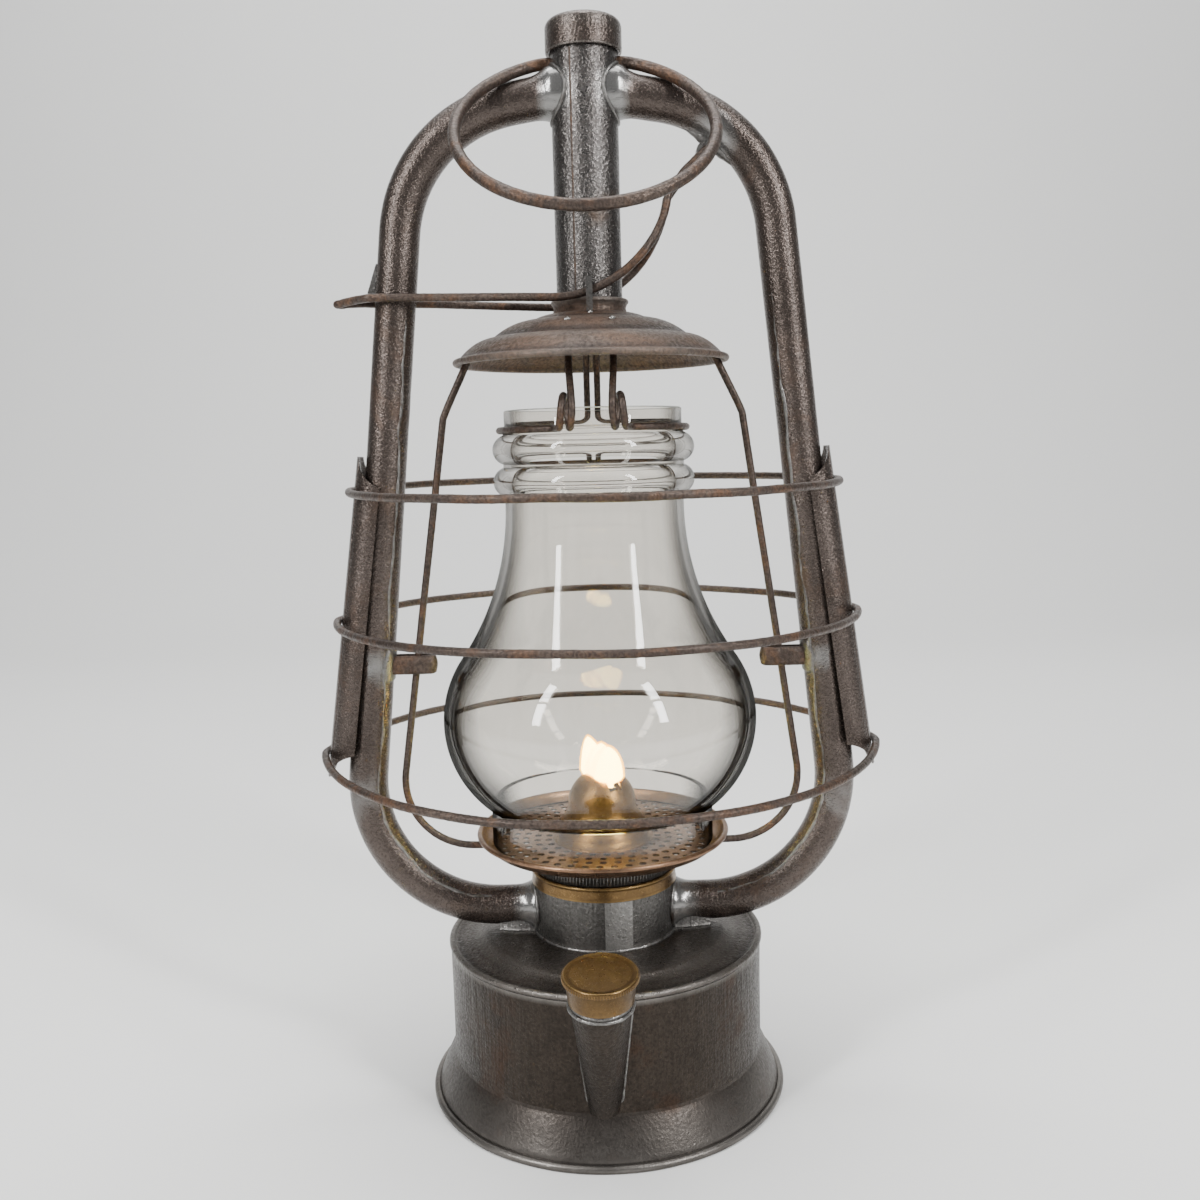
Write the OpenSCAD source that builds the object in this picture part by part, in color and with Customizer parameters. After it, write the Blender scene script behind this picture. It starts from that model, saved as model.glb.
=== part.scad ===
// Hurricane lantern with a wire guard, a tear-shaped globe and a lift lever.
// Millimetres, +Z up, the ground at z = 0, the viewer's side at -Y.

/* [Tank] */
// Outer radius of the tank wall
tank_r = 58; // [52:0.5:62]
// Height of the wall's upper edge
tank_h = 56.2; // [50:0.5:66]
// Thickness of the sheet that the tank and its skirt are made of
sheet_t = 1; // [0.7:0.1:1.3]
// Height of the tank floor's upper face
floor_z = 7; // [5:0.5:12]
// Outer radius of the raised plateau on the tank top
plateau_r = 47; // [42:0.5:50]
// Height of the plateau above the wall's upper edge
plateau_rise = 3.4; // [2.5:0.1:5]
// Radius of the rolled seam at the shoulder
seam_r = 1.2; // [0.9:0.1:1.6]

/* [Skirt] */
// Outer radius of the skirt's rolled foot
skirt_r = 66.4; // [63.5:0.1:72]
// Height of the flared skirt
skirt_h = 17; // [13:0.5:24]
// Bend of the skirt's flare, 1 is a straight cone
skirt_bend = 1.15; // [1:0.05:2]
// Radius of the rolled foot
foot_bead_r = 1.5; // [1.2:0.1:2]
// Depth of the flat that the foot stands on
foot_flat = 0.3; // [0.2:0.05:0.5]

/* [Filler] */
// Turn of the filler from straight ahead, to the left
filler_turn = 1.4; // [-10:0.2:10]
// Tilt of the filler neck and its cap
filler_tilt = 7.5; // [4:0.5:11]
// Tilt of the spout's own axis
spout_tilt = 13; // [10:0.5:15]
// Height of the spout's lower end
spout_low_z = 21; // [16:0.5:26]
// Height of the spout's upper end at its axis
spout_top_z = 62.5; // [58:0.5:65]
// Radius of the spout at its lower end
spout_low_r = 5.2; // [4:0.1:6]
// Radius of the spout at its upper end
spout_top_r = 10.2; // [9.8:0.1:11.5]
// Outer radius of the filler neck
neck_r = 9; // [8:0.1:9.2]
// Wall of the filler neck
neck_wall = 1.1; // [0.8:0.1:1.5]
// Length of the filler neck
neck_len = 8; // [7:0.5:11]
// Radius of the cap's knurled rim
cap_rim_r = 12.6; // [12.2:0.1:14]
// Height of the cap's knurled rim
cap_rim_h = 2; // [1.6:0.1:3]
// Radius of the cap's skirt below the rim
cap_skirt_r = 11.5; // [11:0.1:12]
// Radius of the cap's skirt at its mouth
cap_mouth_r = 10.7; // [10.5:0.1:11]
// Number of knurls round the cap
cap_knurls = 60; // [24:4:90]
// Radius of a knurl's groove
knurl_r = 0.32; // [0.2:0.02:0.4]
// Thickness of the seal inside the cap
seal_t = 1.5; // [1:0.1:2]
// Diameter of the way from the spout into the tank
fuel_way_d = 8; // [5:0.5:9]

/* [Throat] */
// Outer radius of the throat
throat_r = 26.2; // [24:0.2:29]
// Wall of the throat
throat_wall = 0.8; // [0.6:0.1:1.2]
// Height of the throat above the plateau
throat_h = 23; // [20:0.5:30]
// Width of the seam strap on the throat
strap_w = 10; // [6:0.5:14]
// Thickness of the seam strap
strap_t = 0.5; // [0.3:0.1:0.8]
// Wall of the brass ring round the throat's mouth
mouth_ring_wall = 1; // [0.8:0.1:1.4]
// Height of the brass ring
mouth_ring_h = 5.3; // [4:0.1:7]

/* [Burner] */
// Turn of the wick and its slot in plan
burner_turn = -60; // [-75:1:-45]
// Radius of the burner's neck in the tank top
burner_neck_r = 12; // [10:0.2:13]
// Radius of the burner's body
burner_r = 14; // [13.2:0.2:15]
// Wall of the burner's body
burner_wall = 0.8; // [0.6:0.1:1.2]
// Width of the wick
wick_w = 16; // [13:0.5:17]
// Thickness of the wick
wick_t = 2.8; // [2:0.1:3.2]
// Height of the wick tube above the globe plate
wick_tube_rise = 16; // [13:0.5:17]
// Length of wick that stands out of its tube
wick_out = 4; // [2:0.5:5]
// Wall of the wick tube
wick_tube_wall = 0.8; // [0.6:0.1:1]
// Radius of the dome's round top
dome_r = 12.7; // [12:0.1:14]
// Height of the dome's top above the globe plate
dome_h = 25.4; // [24.6:0.2:30]
// Radius of the dome's foot
dome_foot_r = 17; // [16.4:0.1:18]
// Width of the dome's flat rim
dome_rim_w = 1.6; // [1:0.1:2]
// Thickness of the dome's sheet
dome_t = 0.7; // [0.5:0.1:1]
// Width of the flame slot
slot_w = 5; // [4.4:0.1:6]
// Length of the flame slot
slot_len = 21; // [18:0.5:23]

/* [Winder] */
// Diameter of the winder's shaft
shaft_d = 2.2; // [1.8:0.1:2.4]
// Radius of the winder's spur wheels
wheel_r = 4.2; // [3.6:0.1:4.6]
// Thickness of a spur wheel
wheel_t = 1.2; // [0.8:0.1:1.6]
// Teeth on a spur wheel
wheel_teeth = 16; // [14:1:20]
// Diameter of the winder's knob
knob_d = 13; // [10:0.5:15]
// Thickness of the winder's knob
knob_t = 3; // [2:0.5:5]

/* [Globe plate] */
// Radius of the plate's rim
plate_r = 46.8; // [45.6:0.2:52]
// Radius of the plate's flat floor
plate_floor_r = 42.4; // [42:0.2:43.4]
// Depth of the plate
plate_depth = 4; // [3:0.5:6]
// Thickness of the plate
plate_t = 0.8; // [0.6:0.1:1.2]
// Radius of the plate's rolled rim
plate_bead_r = 1; // [0.8:0.1:1.3]
// Height of the plate's foot above the throat's ring
plate_gap = 9.4; // [8:0.1:11]
// Diameter of a hole in the floor
hole_d = 2.7; // [1.5:0.1:3]
// Distance between neighbouring holes
hole_pitch = 5; // [4.4:0.1:6.5]
// Distance between rows of holes
row_pitch = 4.2; // [3.8:0.1:4.4]
// Rows of holes
hole_rows = 5; // [2:1:5]
// Radius of the innermost row
row_start = 20.4; // [20.2:0.1:21]

/* [Globe] */
// Height of the globe
globe_h = 158; // [152:0.5:166]
// Outer radius of the globe's lower collar
globe_collar_r = 41; // [39:0.2:41.6]
// Largest outer radius of the belly
globe_belly_r = 57.4; // [54:0.2:60]
// Height of the belly's widest point
globe_belly_z = 45.8; // [43:0.2:49]
// Radius of the belly's curve
globe_belly_arc = 39.3; // [37:0.1:42]
// Outer radius of the neck
globe_neck_r = 32.2; // [30:0.2:34]
// Height of the neck
globe_neck_z = 124.8; // [120:0.2:128]
// Radius of each rib round the neck
rib_r = 5.4; // [4.5:0.1:5.5]
// Distance between the two ribs
rib_pitch = 11.4; // [11.2:0.1:12]
// Thickness of the glass
glass_t = 2.4; // [1.8:0.1:3]

/* [Hood] */
// Outer radius of the hood's rim
hood_r = 49; // [46:0.2:54]
// Height of the hood from rim to crown
hood_h = 17.6; // [15:0.2:21]
// Height of the hood's rim above the globe
hood_gap = 15.6; // [13:0.2:19]
// Thickness of the hood's sheet
hood_t = 1; // [0.8:0.1:1.3]
// Radius of the hood's upper step
step_top_r = 21; // [20:0.2:23]
// Drop of the hood's upper step
step_top_drop = 2.3; // [1.5:0.1:3]
// Radius of the hood's lower step
step_low_r = 35; // [33:0.2:38]
// Drop from the upper to the lower step
step_low_drop = 6; // [4.5:0.1:7]
// How full the hood's steps are, 1 for straight cones
step_crown = 2; // [1.4:0.05:2.4]
// Radius of the bead round the hood's rim
hood_bead_r = 1.2; // [0.9:0.1:1.5]
// Height of the collar on the hood
collar_h = 4.8; // [4:0.1:7]
// Wall of the collar
collar_wall = 0.8; // [0.6:0.1:1]
// Radius of the bead round the collar's mouth
collar_bead_r = 0.9; // [0.7:0.1:1]

/* [Globe clip] */
// Diameter of the clip's wire
clip_d = 2.6; // [2:0.1:2.8]
// Radius of the curl in front of the globe
curl_r = 5.2; // [4.4:0.1:6]
// Sideways step of one curl
curl_pitch = 3.6; // [3.4:0.1:4.4]
// Distance of a front leg from the middle
clip_leg_x = 7.4; // [6.6:0.1:9]
// Distance of a rear leg from the middle
clip_rear_x = 2; // [1.8:0.1:4]
// Distance of the legs' upper ends from the axis
clip_leg_y = 28; // [26:0.2:31]

/* [Lift wires] */
// Diameter of the wires between hood and globe plate
lift_wire_d = 2.8; // [2.2:0.1:3]
// Distance of the wire's upper bend from the axis
lift_knee_x = 53.6; // [52:0.2:56]
// Drop of the wire's upper bend below the hood's rim
lift_knee_drop = 17.8; // [14:0.2:22]
// Outward lean of the wires
lift_lean = 8.4; // [7.6:0.1:8.8]
// Radius of the wire's lower bend
lift_bend_r = 25; // [18:0.5:27]
// Length of the lift wires' ends under the plate's floor
lift_under = 3; // [2:0.2:3.6]
// Height of the wire guides above the globe's foot
guide_z = 67; // [60:0.5:72]
// Height of a wire guide
guide_h = 7; // [5:0.5:10]
// Thickness of a guide's strip
guide_t = 1; // [0.8:0.1:1.4]
// Distance of the guide's nose in front of its wire
guide_front = 4; // [3:0.2:5]
// Travel of the hood and globe
lift_travel = 20; // [10:1:20]

/* [Air tubes] */
// Outer diameter of the side tubes
tube_d = 14.5; // [12.5:0.1:15]
// Wall of the side tubes
tube_wall = 0.8; // [0.6:0.1:1.2]
// Distance from the axis at which the leaning run would reach the bottom run
tube_foot_x = 92; // [90:0.5:94]
// Gap between the bottom run and the tank's plateau
tube_seat = 1.5; // [1:0.1:3]
// Outward lean of the long run
tube_lean = 6; // [5.4:0.1:6.4]
// Slope of the top run
tube_slope = 9.5; // [7:0.1:12]
// Bend radius at the top
tube_bend_top = 48; // [44:0.5:52]
// Bend radius at the bottom
tube_bend_low = 47.5; // [42:0.5:52]
// Height of the top run at the centre tube, above the hood's collar
tube_top_rise = 69.6; // [66:0.2:76]

/* [Centre tube] */
// Outer diameter of the centre tube
centre_d = 23.2; // [21.6:0.2:24.4]
// Wall of the centre tube
centre_wall = 0.9; // [0.7:0.1:1.3]
// Length of centre tube above the top run
centre_over = 23.1; // [21:0.1:30]
// Length of centre tube below the hood's crown
centre_under = 6; // [3:0.5:8]
// Outer radius of the top cap
top_cap_r = 13.3; // [12.8:0.1:14.5]
// Height of the top cap
top_cap_h = 11.2; // [9:0.2:12]
// Thickness of the top cap's crown
top_cap_t = 1.2; // [0.8:0.1:2]
// Radius of the top cap's rounded edge
top_cap_round = 3; // [1:0.1:3.4]

/* [Carrying ring] */
// Diameter of the ring's wire
ring_d = 4.2; // [3.4:0.1:4.4]
// Reach of the ring from its pivot
ring_reach = 82.7; // [80.5:0.1:84]
// How far the ring's full circle would pass its pivot
ring_past = 2.5; // [1.5:0.1:4]
// Radius of the elbow at each end of the ring
ring_elbow_r = 12; // [9:0.5:16]
// Drop of the pivot below the top cap
ring_drop = 2.8; // [2.6:0.1:4]
// Length of the ring's ends inside the tube
ring_end = 3; // [2:0.5:6]
// Angle below level at which the ring hangs
ring_hang = 45; // [30:0.5:46]

/* [Lift lever] */
// Diameter of the lever's wire
lever_d = 3; // [2.6:0.1:3.2]
// Diameter of the pin on which the lever turns
lever_pin_d = 3; // [2.4:0.1:3.2]
// Radius of the knuckle that holds the pin
knuckle_r = 3.2; // [2.8:0.1:3.6]
// Length of the knuckle
knuckle_len = 6; // [5:0.2:7]
// Angle of the knuckle round the tube's bend
knuckle_turn = 52; // [46:1:56]
// Distance of the lever's wires from the middle at the hood
lever_spread = 15.8; // [15.4:0.1:17]
// Radius of the lever's bow
lever_bow_r = 41; // [38:0.5:44]
// Distance of the bow's lowest point from the middle
lever_bow_x = 12.5; // [10:0.5:15]
// Length of the lever's nose past the tube
lever_nose = 13.4; // [11:0.2:18]
// Rise of the lever towards its nose
lever_rise = 2; // [0:0.2:3]
// Width of the hooks that the lever lifts
hook_w = 2.2; // [1.6:0.1:3]
// Thickness of the hooks
hook_t = 0.9; // [0.7:0.1:1]
// Room of the lever's wire in its hooks, up and down
hook_slack = 2; // [1.4:0.1:3]
// Length of the catch on the tube
catch_len = 10; // [7:0.5:13]
// How far the catch stands out
catch_out = 2.6; // [1.5:0.1:3]
// Width of the catch
catch_w = 4; // [3:0.2:5]

/* [Guard] */
// Diameter of the guard's wire
hoop_d = 3; // [2.4:0.1:3.4]
// Inner radius of the guard plates
plate_bend_r = 7.6; // [7.5:0.05:8.4]
// Thickness of the guard plates
guard_t = 0.9; // [0.7:0.1:1.2]
// Depth of the guard plates' straight flanges
guard_flange = 1.8; // [1.4:0.1:3]
// Outward lean of the guard plates
guard_lean = 8.1; // [7.4:0.1:8.8]
// Length of a guard plate below the lowest hoop
guard_under = 9.2; // [6:0.2:14]
// Height of the guard plates' upper end above the globe's foot
guard_top_z = 142; // [138:0.5:146]
// Distance of the guard plates' upper end from the axis
guard_top_x = 85; // [84.6:0.1:86.4]
// Radius of the scoop cut into a guard plate's ends
guard_scoop_r = 11; // [10:0.2:12]
// Heights of the top, middle and bottom hoop above the globe's foot
hoop_z = [130.8, 83.6, 34.4]; // [30:0.2:134]
// Depth of the top, middle and bottom hoop from the axis
hoop_depth = [78, 83, 84]; // [74:0.5:94]
// Backward tilt of the top, middle and bottom hoop
hoop_tilt = [0.7, 0, 2.2]; // [0:0.1:3]
// Bend radius of a hoop at the guard plates
hoop_end_r = 10; // [6:0.5:14]

/* [Fits] */
// Radial clearance of a turning pin
pin_clear = 0.07; // [0.04:0.01:0.1]
// Clearance of a sliding fit
slide_clear = 0.35; // [0.25:0.05:0.5]
// Clearance of a soldered or seated joint
seat_clear = 0.15; // [0.1:0.05:0.25]

/* [Hidden] */
$fn = 96;
wire_sides = 12;
cut = 1;
// How far two lengths of a bent rod run into each other, and how much slimmer one of them is
lap = 0.3;
lap_step = 0.05;
steel = "#5a5048";
rust = "#6b4a35";
brass = "#a3813f";
copper = "#9c6a4c";
tin = "#8d8f90";

// Heights from the ground up
plateau_z = tank_h + plateau_rise;
throat_top = plateau_z + throat_h;
ring_top = throat_top + mouth_ring_wall;
plate_under = ring_top + seat_clear * 2 + plate_gap;
plate_floor = plate_under + plate_t;
plate_rim = plate_floor + plate_depth - plate_bead_r;
globe_foot = plate_floor + seat_clear;
globe_top = globe_foot + globe_h;
hood_rim = globe_top + hood_gap;
hood_crown = hood_rim + hood_h;
collar_top = hood_crown + collar_h;
tube_top_z = collar_top + tube_top_rise;
centre_top = tube_top_z + centre_over;
cap_top = centre_top + top_cap_t + seat_clear;
cap_low = cap_top - top_cap_h;
ring_pivot_z = cap_low - ring_drop;

// Outline points on an arc
function arc(x, z, r, a0, a1, n) = [for (i = [0 : n]) let (a = a0 + (a1 - a0) * i / n)
    [x + r * cos(a), z + r * sin(a)]];
function reversed(p) = [for (i = [len(p) - 1 : -1 : 0]) p[i]];
function unit(v) = v / norm(v);
function mix(a, b, t) = a + (b - a) * t;
function ease(t) = let (c = min(1, max(0, t))) c * c * (3 - 2 * c);
function mirrored(p) = [for (q = p) [q.x, -q.y, q.z]];

// Tangents of a path, and a side vector carried along it without twist
function tangents(p) = let (n = len(p) - 1)
    [for (i = [0 : n]) unit(p[min(i + 1, n)] - p[max(i - 1, 0)])];
function carried(t, side, i = 0) = i == len(t) ? [] :
    let (u = unit(side - (side * t[i]) * t[i])) concat([u], carried(t, u, i + 1));

// A round wire swept along a path
module swept_wire(path, d, side) {
    t = tangents(path);
    u = carried(t, side);
    last = len(path) - 1;
    points = [for (i = [0 : last]) for (k = [0 : wire_sides - 1])
        let (a = 360 * k / wire_sides)
        path[i] + d / 2 * (cos(a) * u[i] + sin(a) * cross(t[i], u[i]))];
    walls = [for (i = [0 : last - 1]) for (k = [0 : wire_sides - 1])
        let (m = (k + 1) % wire_sides, a = i * wire_sides, b = a + wire_sides)
        each [[a + k, b + m, a + m], [a + k, b + k, b + m]]];
    start_cap = [for (k = [1 : wire_sides - 2]) [0, k, k + 1]];
    end_cap = [for (k = [1 : wire_sides - 2]) let (e = last * wire_sides) [e, e + k + 1, e + k]];
    polyhedron(points, concat(walls, start_cap, end_cap));
}

// Least gap of a wire to itself, past a few of its own diameters
function wire_gap(p, d, skip) = min([for (i = [0 : len(p) - 1]) for (j = [i + skip : 1 : len(p) - 1])
    norm(p[i] - p[j])]) - d;

module shell(r_out, r_in, z0, z1) {
    translate([0, 0, z0])
        difference() {
            cylinder(h = z1 - z0, r = r_out);
            translate([0, 0, -cut])
                cylinder(h = z1 - z0 + 2 * cut, r = r_in);
        }
}

// A straight rod between two points of the XZ plane, lapped at both ends
module rod(a, b, r) {
    translate([a.x, 0, a.y])
        rotate([0, atan2(b.x - a.x, b.y - a.y), 0])
            translate([0, 0, -lap])
                cylinder(h = norm(b - a) + 2 * lap, r = r - lap_step);
}

// A bent rod in the XZ plane
module bend(c, bend_r, a0, a1, r) {
    translate([c.x, 0, c.y])
        rotate([90, 0, 0])
            rotate([0, 0, a0])
                rotate_extrude(angle = a1 - a0)
                    translate([bend_r, 0])
                        circle(r);
}

module left_side() {
    mirror([1, 0, 0])
        children();
}

// Tank
plateau_step = 2;
shoulder_z = tank_h + seam_r * 2 - 0.9;
burner_seat_r = burner_neck_r + seat_clear;
spout_run = (spout_top_z - spout_low_z) / cos(spout_tilt);
spout_low_y = tank_r + spout_low_r - 2;
spout_top_y = spout_low_y + (spout_top_z - spout_low_z) * tan(spout_tilt);

module tank_wall() {
    color(steel)
        difference() {
            shell(tank_r, tank_r - sheet_t, floor_z - sheet_t, tank_h);
            rotate([0, 0, -filler_turn])
                translate([0, -tank_r + 2 * sheet_t, (spout_low_z + spout_top_z) / 2])
                    rotate([90, 0, 0])
                        cylinder(h = 4 * sheet_t, d = fuel_way_d);
        }
}

module tank_floor() {
    color(steel)
        shell(tank_r - sheet_t, 0, floor_z - sheet_t, floor_z);
}

module tank_top() {
    seam_x = tank_r - seam_r + 0.6;
    dip_x = seam_x - 2 * seam_r;
    dip_z = shoulder_z - 0.5;
    upper = concat([[burner_seat_r, plateau_z],
        [plateau_r - plateau_step, plateau_z],
        [plateau_r, shoulder_z + 0.4],
        [dip_x, dip_z]],
        arc(seam_x, tank_h + seam_r, seam_r, 150, -90, 12));
    under = [[tank_r - sheet_t, tank_h],
        [dip_x - sheet_t, dip_z - sheet_t],
        [plateau_r - sheet_t, shoulder_z + 0.4 - sheet_t],
        [plateau_r - plateau_step - sheet_t / 2, plateau_z - sheet_t],
        [burner_seat_r, plateau_z - sheet_t]];
    color(steel)
        rotate_extrude()
            polygon(concat(upper, under));
}

skirt_flare = skirt_r - foot_bead_r - tank_r - sheet_t;
skirt_steps = 10;
foot_bead_z = foot_bead_r - foot_flat;
skirt_side = [for (i = [0 : skirt_steps]) let (u = i / skirt_steps)
    [tank_r + skirt_flare * pow(1 - u, skirt_bend), mix(foot_bead_z, skirt_h, u)]];

module base_skirt() {
    color(steel)
        difference() {
            union() {
                rotate_extrude()
                    polygon(concat(skirt_side, reversed([for (p = skirt_side) [p.x + sheet_t, p.y]])));
                rotate_extrude()
                    translate([skirt_r - foot_bead_r, foot_bead_z])
                        circle(foot_bead_r, $fn = 32);
            }
            translate([0, 0, -foot_bead_r])
                cylinder(h = foot_bead_r, r = skirt_r + cut);
        }
}

// Filler
module at_filler() {
    rotate([0, 0, -filler_turn])
        translate([0, -spout_top_y, spout_top_z])
            rotate([filler_tilt, 0, 0])
                children();
}

module filler_spout() {
    color(steel)
        difference() {
            rotate([0, 0, -filler_turn])
                translate([0, -spout_low_y, spout_low_z])
                    rotate([spout_tilt, 0, 0])
                        difference() {
                            cylinder(h = spout_run + spout_top_r, r1 = spout_low_r,
                                r2 = spout_top_r + (spout_top_r - spout_low_r) * spout_top_r / spout_run);
                            translate([0, 0, sheet_t])
                                cylinder(h = spout_run + spout_top_r, r1 = spout_low_r - sheet_t,
                                    r2 = spout_top_r - sheet_t
                                        + (spout_top_r - spout_low_r) * spout_top_r / spout_run);
                        }
            cylinder(h = plateau_z + cap_rim_r, r = tank_r);
            cylinder(h = tank_h + 2 * seam_r + seat_clear, r = tank_r + 0.6 + seat_clear);
            base_skirt_block();
            at_filler()
                translate([-tank_r, -tank_r, 0])
                    cube(2 * tank_r);
        }
}

// The space that the skirt takes, for the spout's foot to be cut by
module base_skirt_block() {
    rotate_extrude()
        polygon(concat([[0, skirt_h], [0, foot_bead_z]],
            [for (p = skirt_side) [p.x + sheet_t + seat_clear, p.y]]));
}

neck_flange = 1.2;
module filler_neck() {
    color(tin)
        at_filler() {
            difference() {
                union() {
                    cylinder(h = neck_flange, r = spout_top_r);
                    cylinder(h = neck_len, r = neck_r);
                }
                translate([0, 0, -cut])
                    cylinder(h = neck_len + 2 * cut, r = neck_r - neck_wall);
            }
        }
}

module cap_seal() {
    color("#4a3a2a")
        at_filler()
            translate([0, 0, neck_len + seat_clear])
                cylinder(h = seal_t, r = neck_r + slide_clear - pin_clear * 2);
}

cap_inside = neck_len + seat_clear + seal_t + pin_clear;
cap_mouth = neck_flange + seat_clear;
cap_crown = 1.2;
module filler_cap() {
    rim_top = cap_inside + cap_crown;
    rim_low = rim_top - cap_rim_h;
    color(brass)
        at_filler()
            difference() {
                union() {
                    translate([0, 0, rim_low])
                        cylinder(h = cap_rim_h, r = cap_rim_r);
                    translate([0, 0, cap_mouth])
                        cylinder(h = rim_low - cap_mouth, r1 = cap_mouth_r, r2 = cap_skirt_r);
                }
                translate([0, 0, cap_mouth - cut])
                    cylinder(h = cap_inside - cap_mouth + cut, r = neck_r + slide_clear);
                for (i = [0 : cap_knurls - 1])
                    rotate([0, 0, 360 * i / cap_knurls])
                        translate([cap_rim_r, 0, rim_low - cut])
                            cylinder(h = cap_rim_h * 0.8 + cut, r = knurl_r, $fn = 16);
            }
}

// Throat
module throat() {
    color(steel)
        difference() {
            shell(throat_r, throat_r - throat_wall, plateau_z, throat_top);
            translate([-throat_r - cut, 0, tube_low_z])
                rotate([0, 90, 0])
                    cylinder(h = 2 * throat_r + 2 * cut, d = tube_d - 2 * tube_wall);
        }
}

module throat_strap() {
    turn = strap_w / throat_r * 180 / PI;
    strap_top = ring_top - mouth_ring_h - seat_clear;
    color(tin)
        rotate([0, 0, -90])
            rotate_extrude(angle = turn)
                translate([throat_r + lap_step, plateau_z + seat_clear])
                    square([strap_t, strap_top - plateau_z - seat_clear]);
}

module throat_ring() {
    color(brass)
        rotate_extrude()
            polygon([[throat_r, ring_top - mouth_ring_h],
                [throat_r + mouth_ring_wall, ring_top - mouth_ring_h],
                [throat_r + mouth_ring_wall, ring_top],
                [throat_r - throat_wall, ring_top],
                [throat_r - throat_wall, throat_top],
                [throat_r, throat_top]]);
}

// Burner, laid out along the wick's width and turned in plan
shaft_z = (ring_top + plate_under) / 2;
shaft_y = -(wick_t / 2 + pin_clear + wheel_r);
deck_z = ring_top - 1.5;
deck_t = 1;
ear_t = 1.6;
ear_w = 4.4;
wick_tube_w = wick_w + 2 * (pin_clear + wick_tube_wall + slide_clear);
wick_tube_t = wick_t + 2 * (pin_clear + wick_tube_wall + slide_clear);
wick_tube_top = plate_floor + wick_tube_rise;
wheel_x = wick_w / 4;
ear_near = wheel_x + wheel_t / 2 + 1;
ear_far = -ear_near - ear_t;

module at_burner() {
    rotate([0, 0, burner_turn])
        children();
}

module burner_body() {
    color(brass)
        at_burner()
            difference() {
                union() {
                    shell(burner_neck_r, burner_neck_r - burner_wall, plateau_z - 4, plateau_z);
                    shell(burner_r + 3, burner_neck_r - burner_wall, plateau_z, plateau_z + 1);
                    shell(burner_r, burner_r - burner_wall, plateau_z + 1, deck_z);
                    shell(burner_r, 0, deck_z - deck_t, deck_z);
                    for (x = [ear_near, ear_far])
                        translate([x, shaft_y - ear_w / 2, deck_z])
                            cube([ear_t, ear_w, shaft_z - deck_z + shaft_d / 2 + 0.6]);
                }
                translate([-wick_tube_w / 2 - seat_clear, -wick_tube_t / 2 - seat_clear, plateau_z])
                    cube([wick_tube_w + 2 * seat_clear, wick_tube_t + 2 * seat_clear, throat_h + 2 * cut]);
                translate([ear_far - cut, shaft_y, shaft_z])
                    rotate([0, 90, 0])
                        cylinder(h = ear_near - ear_far + ear_t + 2 * cut, d = shaft_d + 2 * pin_clear);
                translate([-burner_r, shaft_y - wheel_r - slide_clear, deck_z - deck_t - cut])
                    wheel_room();
            }
}

// Room for the spur wheels in the burner's deck
module wheel_room() {
    for (x = [-wheel_x, wheel_x])
        translate([burner_r + x - wheel_t / 2 - slide_clear, 0, 0])
            cube([wheel_t + 2 * slide_clear, wheel_r + slide_clear - shaft_y, deck_t + cut * 2]);
}

module wick_tube() {
    low = plateau_z - 2;
    color(brass)
        at_burner()
            difference() {
                translate([-wick_tube_w / 2, -wick_tube_t / 2, low])
                    cube([wick_tube_w, wick_tube_t, wick_tube_top - low]);
                translate([-wick_tube_w / 2 + wick_tube_wall, -wick_tube_t / 2 + wick_tube_wall, low - cut])
                    cube([wick_tube_w - 2 * wick_tube_wall, wick_tube_t - 2 * wick_tube_wall,
                        wick_tube_top - low + 2 * cut]);
                for (x = [-wheel_x, wheel_x])
                    translate([x - wheel_t / 2 - slide_clear, -wick_tube_t, shaft_z - wheel_r])
                        cube([wheel_t + 2 * slide_clear, wick_tube_t, 2 * wheel_r]);
            }
}

module wick() {
    color("#cfc4a8")
        at_burner()
            translate([-wick_w / 2, -wick_t / 2, floor_z + 8])
                cube([wick_w, wick_t, wick_tube_top + wick_out - floor_z - 8]);
}

knob_x = -(plate_r + 1.6);
module winder_shaft() {
    near = ear_near + ear_t + 0.6;
    color(brass)
        at_burner()
            translate([knob_x - knob_t, shaft_y, shaft_z])
                rotate([0, 90, 0])
                    cylinder(h = near - knob_x + knob_t, d = shaft_d);
}

module winder_wheels() {
    color(brass)
        at_burner()
            for (x = [-wheel_x, wheel_x])
                translate([x - wheel_t / 2, shaft_y, shaft_z])
                    rotate([0, 90, 0])
                        difference() {
                            cylinder(h = wheel_t, r = wheel_r);
                            translate([0, 0, -cut])
                                cylinder(h = wheel_t + 2 * cut, d = shaft_d);
                            for (i = [0 : wheel_teeth - 1])
                                rotate([0, 0, 360 * i / wheel_teeth])
                                    translate([wheel_r, 0, -cut])
                                        cylinder(h = wheel_t + 2 * cut, r = knurl_r * 1.5, $fn = 16);
                        }
}

module winder_knob() {
    color(brass)
        at_burner()
            translate([knob_x - knob_t, shaft_y, shaft_z])
                rotate([0, 90, 0])
                    difference() {
                        union() {
                            cylinder(h = knob_t * 0.7, d = knob_d);
                            cylinder(h = knob_t, d = knob_d * 0.5);
                        }
                        translate([0, 0, -cut])
                            cylinder(h = knob_t + 2 * cut, d = shaft_d);
                        for (i = [0 : 23])
                            rotate([0, 0, 15 * i])
                                translate([knob_d / 2, 0, -cut])
                                    cylinder(h = knob_t + 2 * cut, r = knurl_r * 1.5, $fn = 16);
                    }
}

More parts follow.
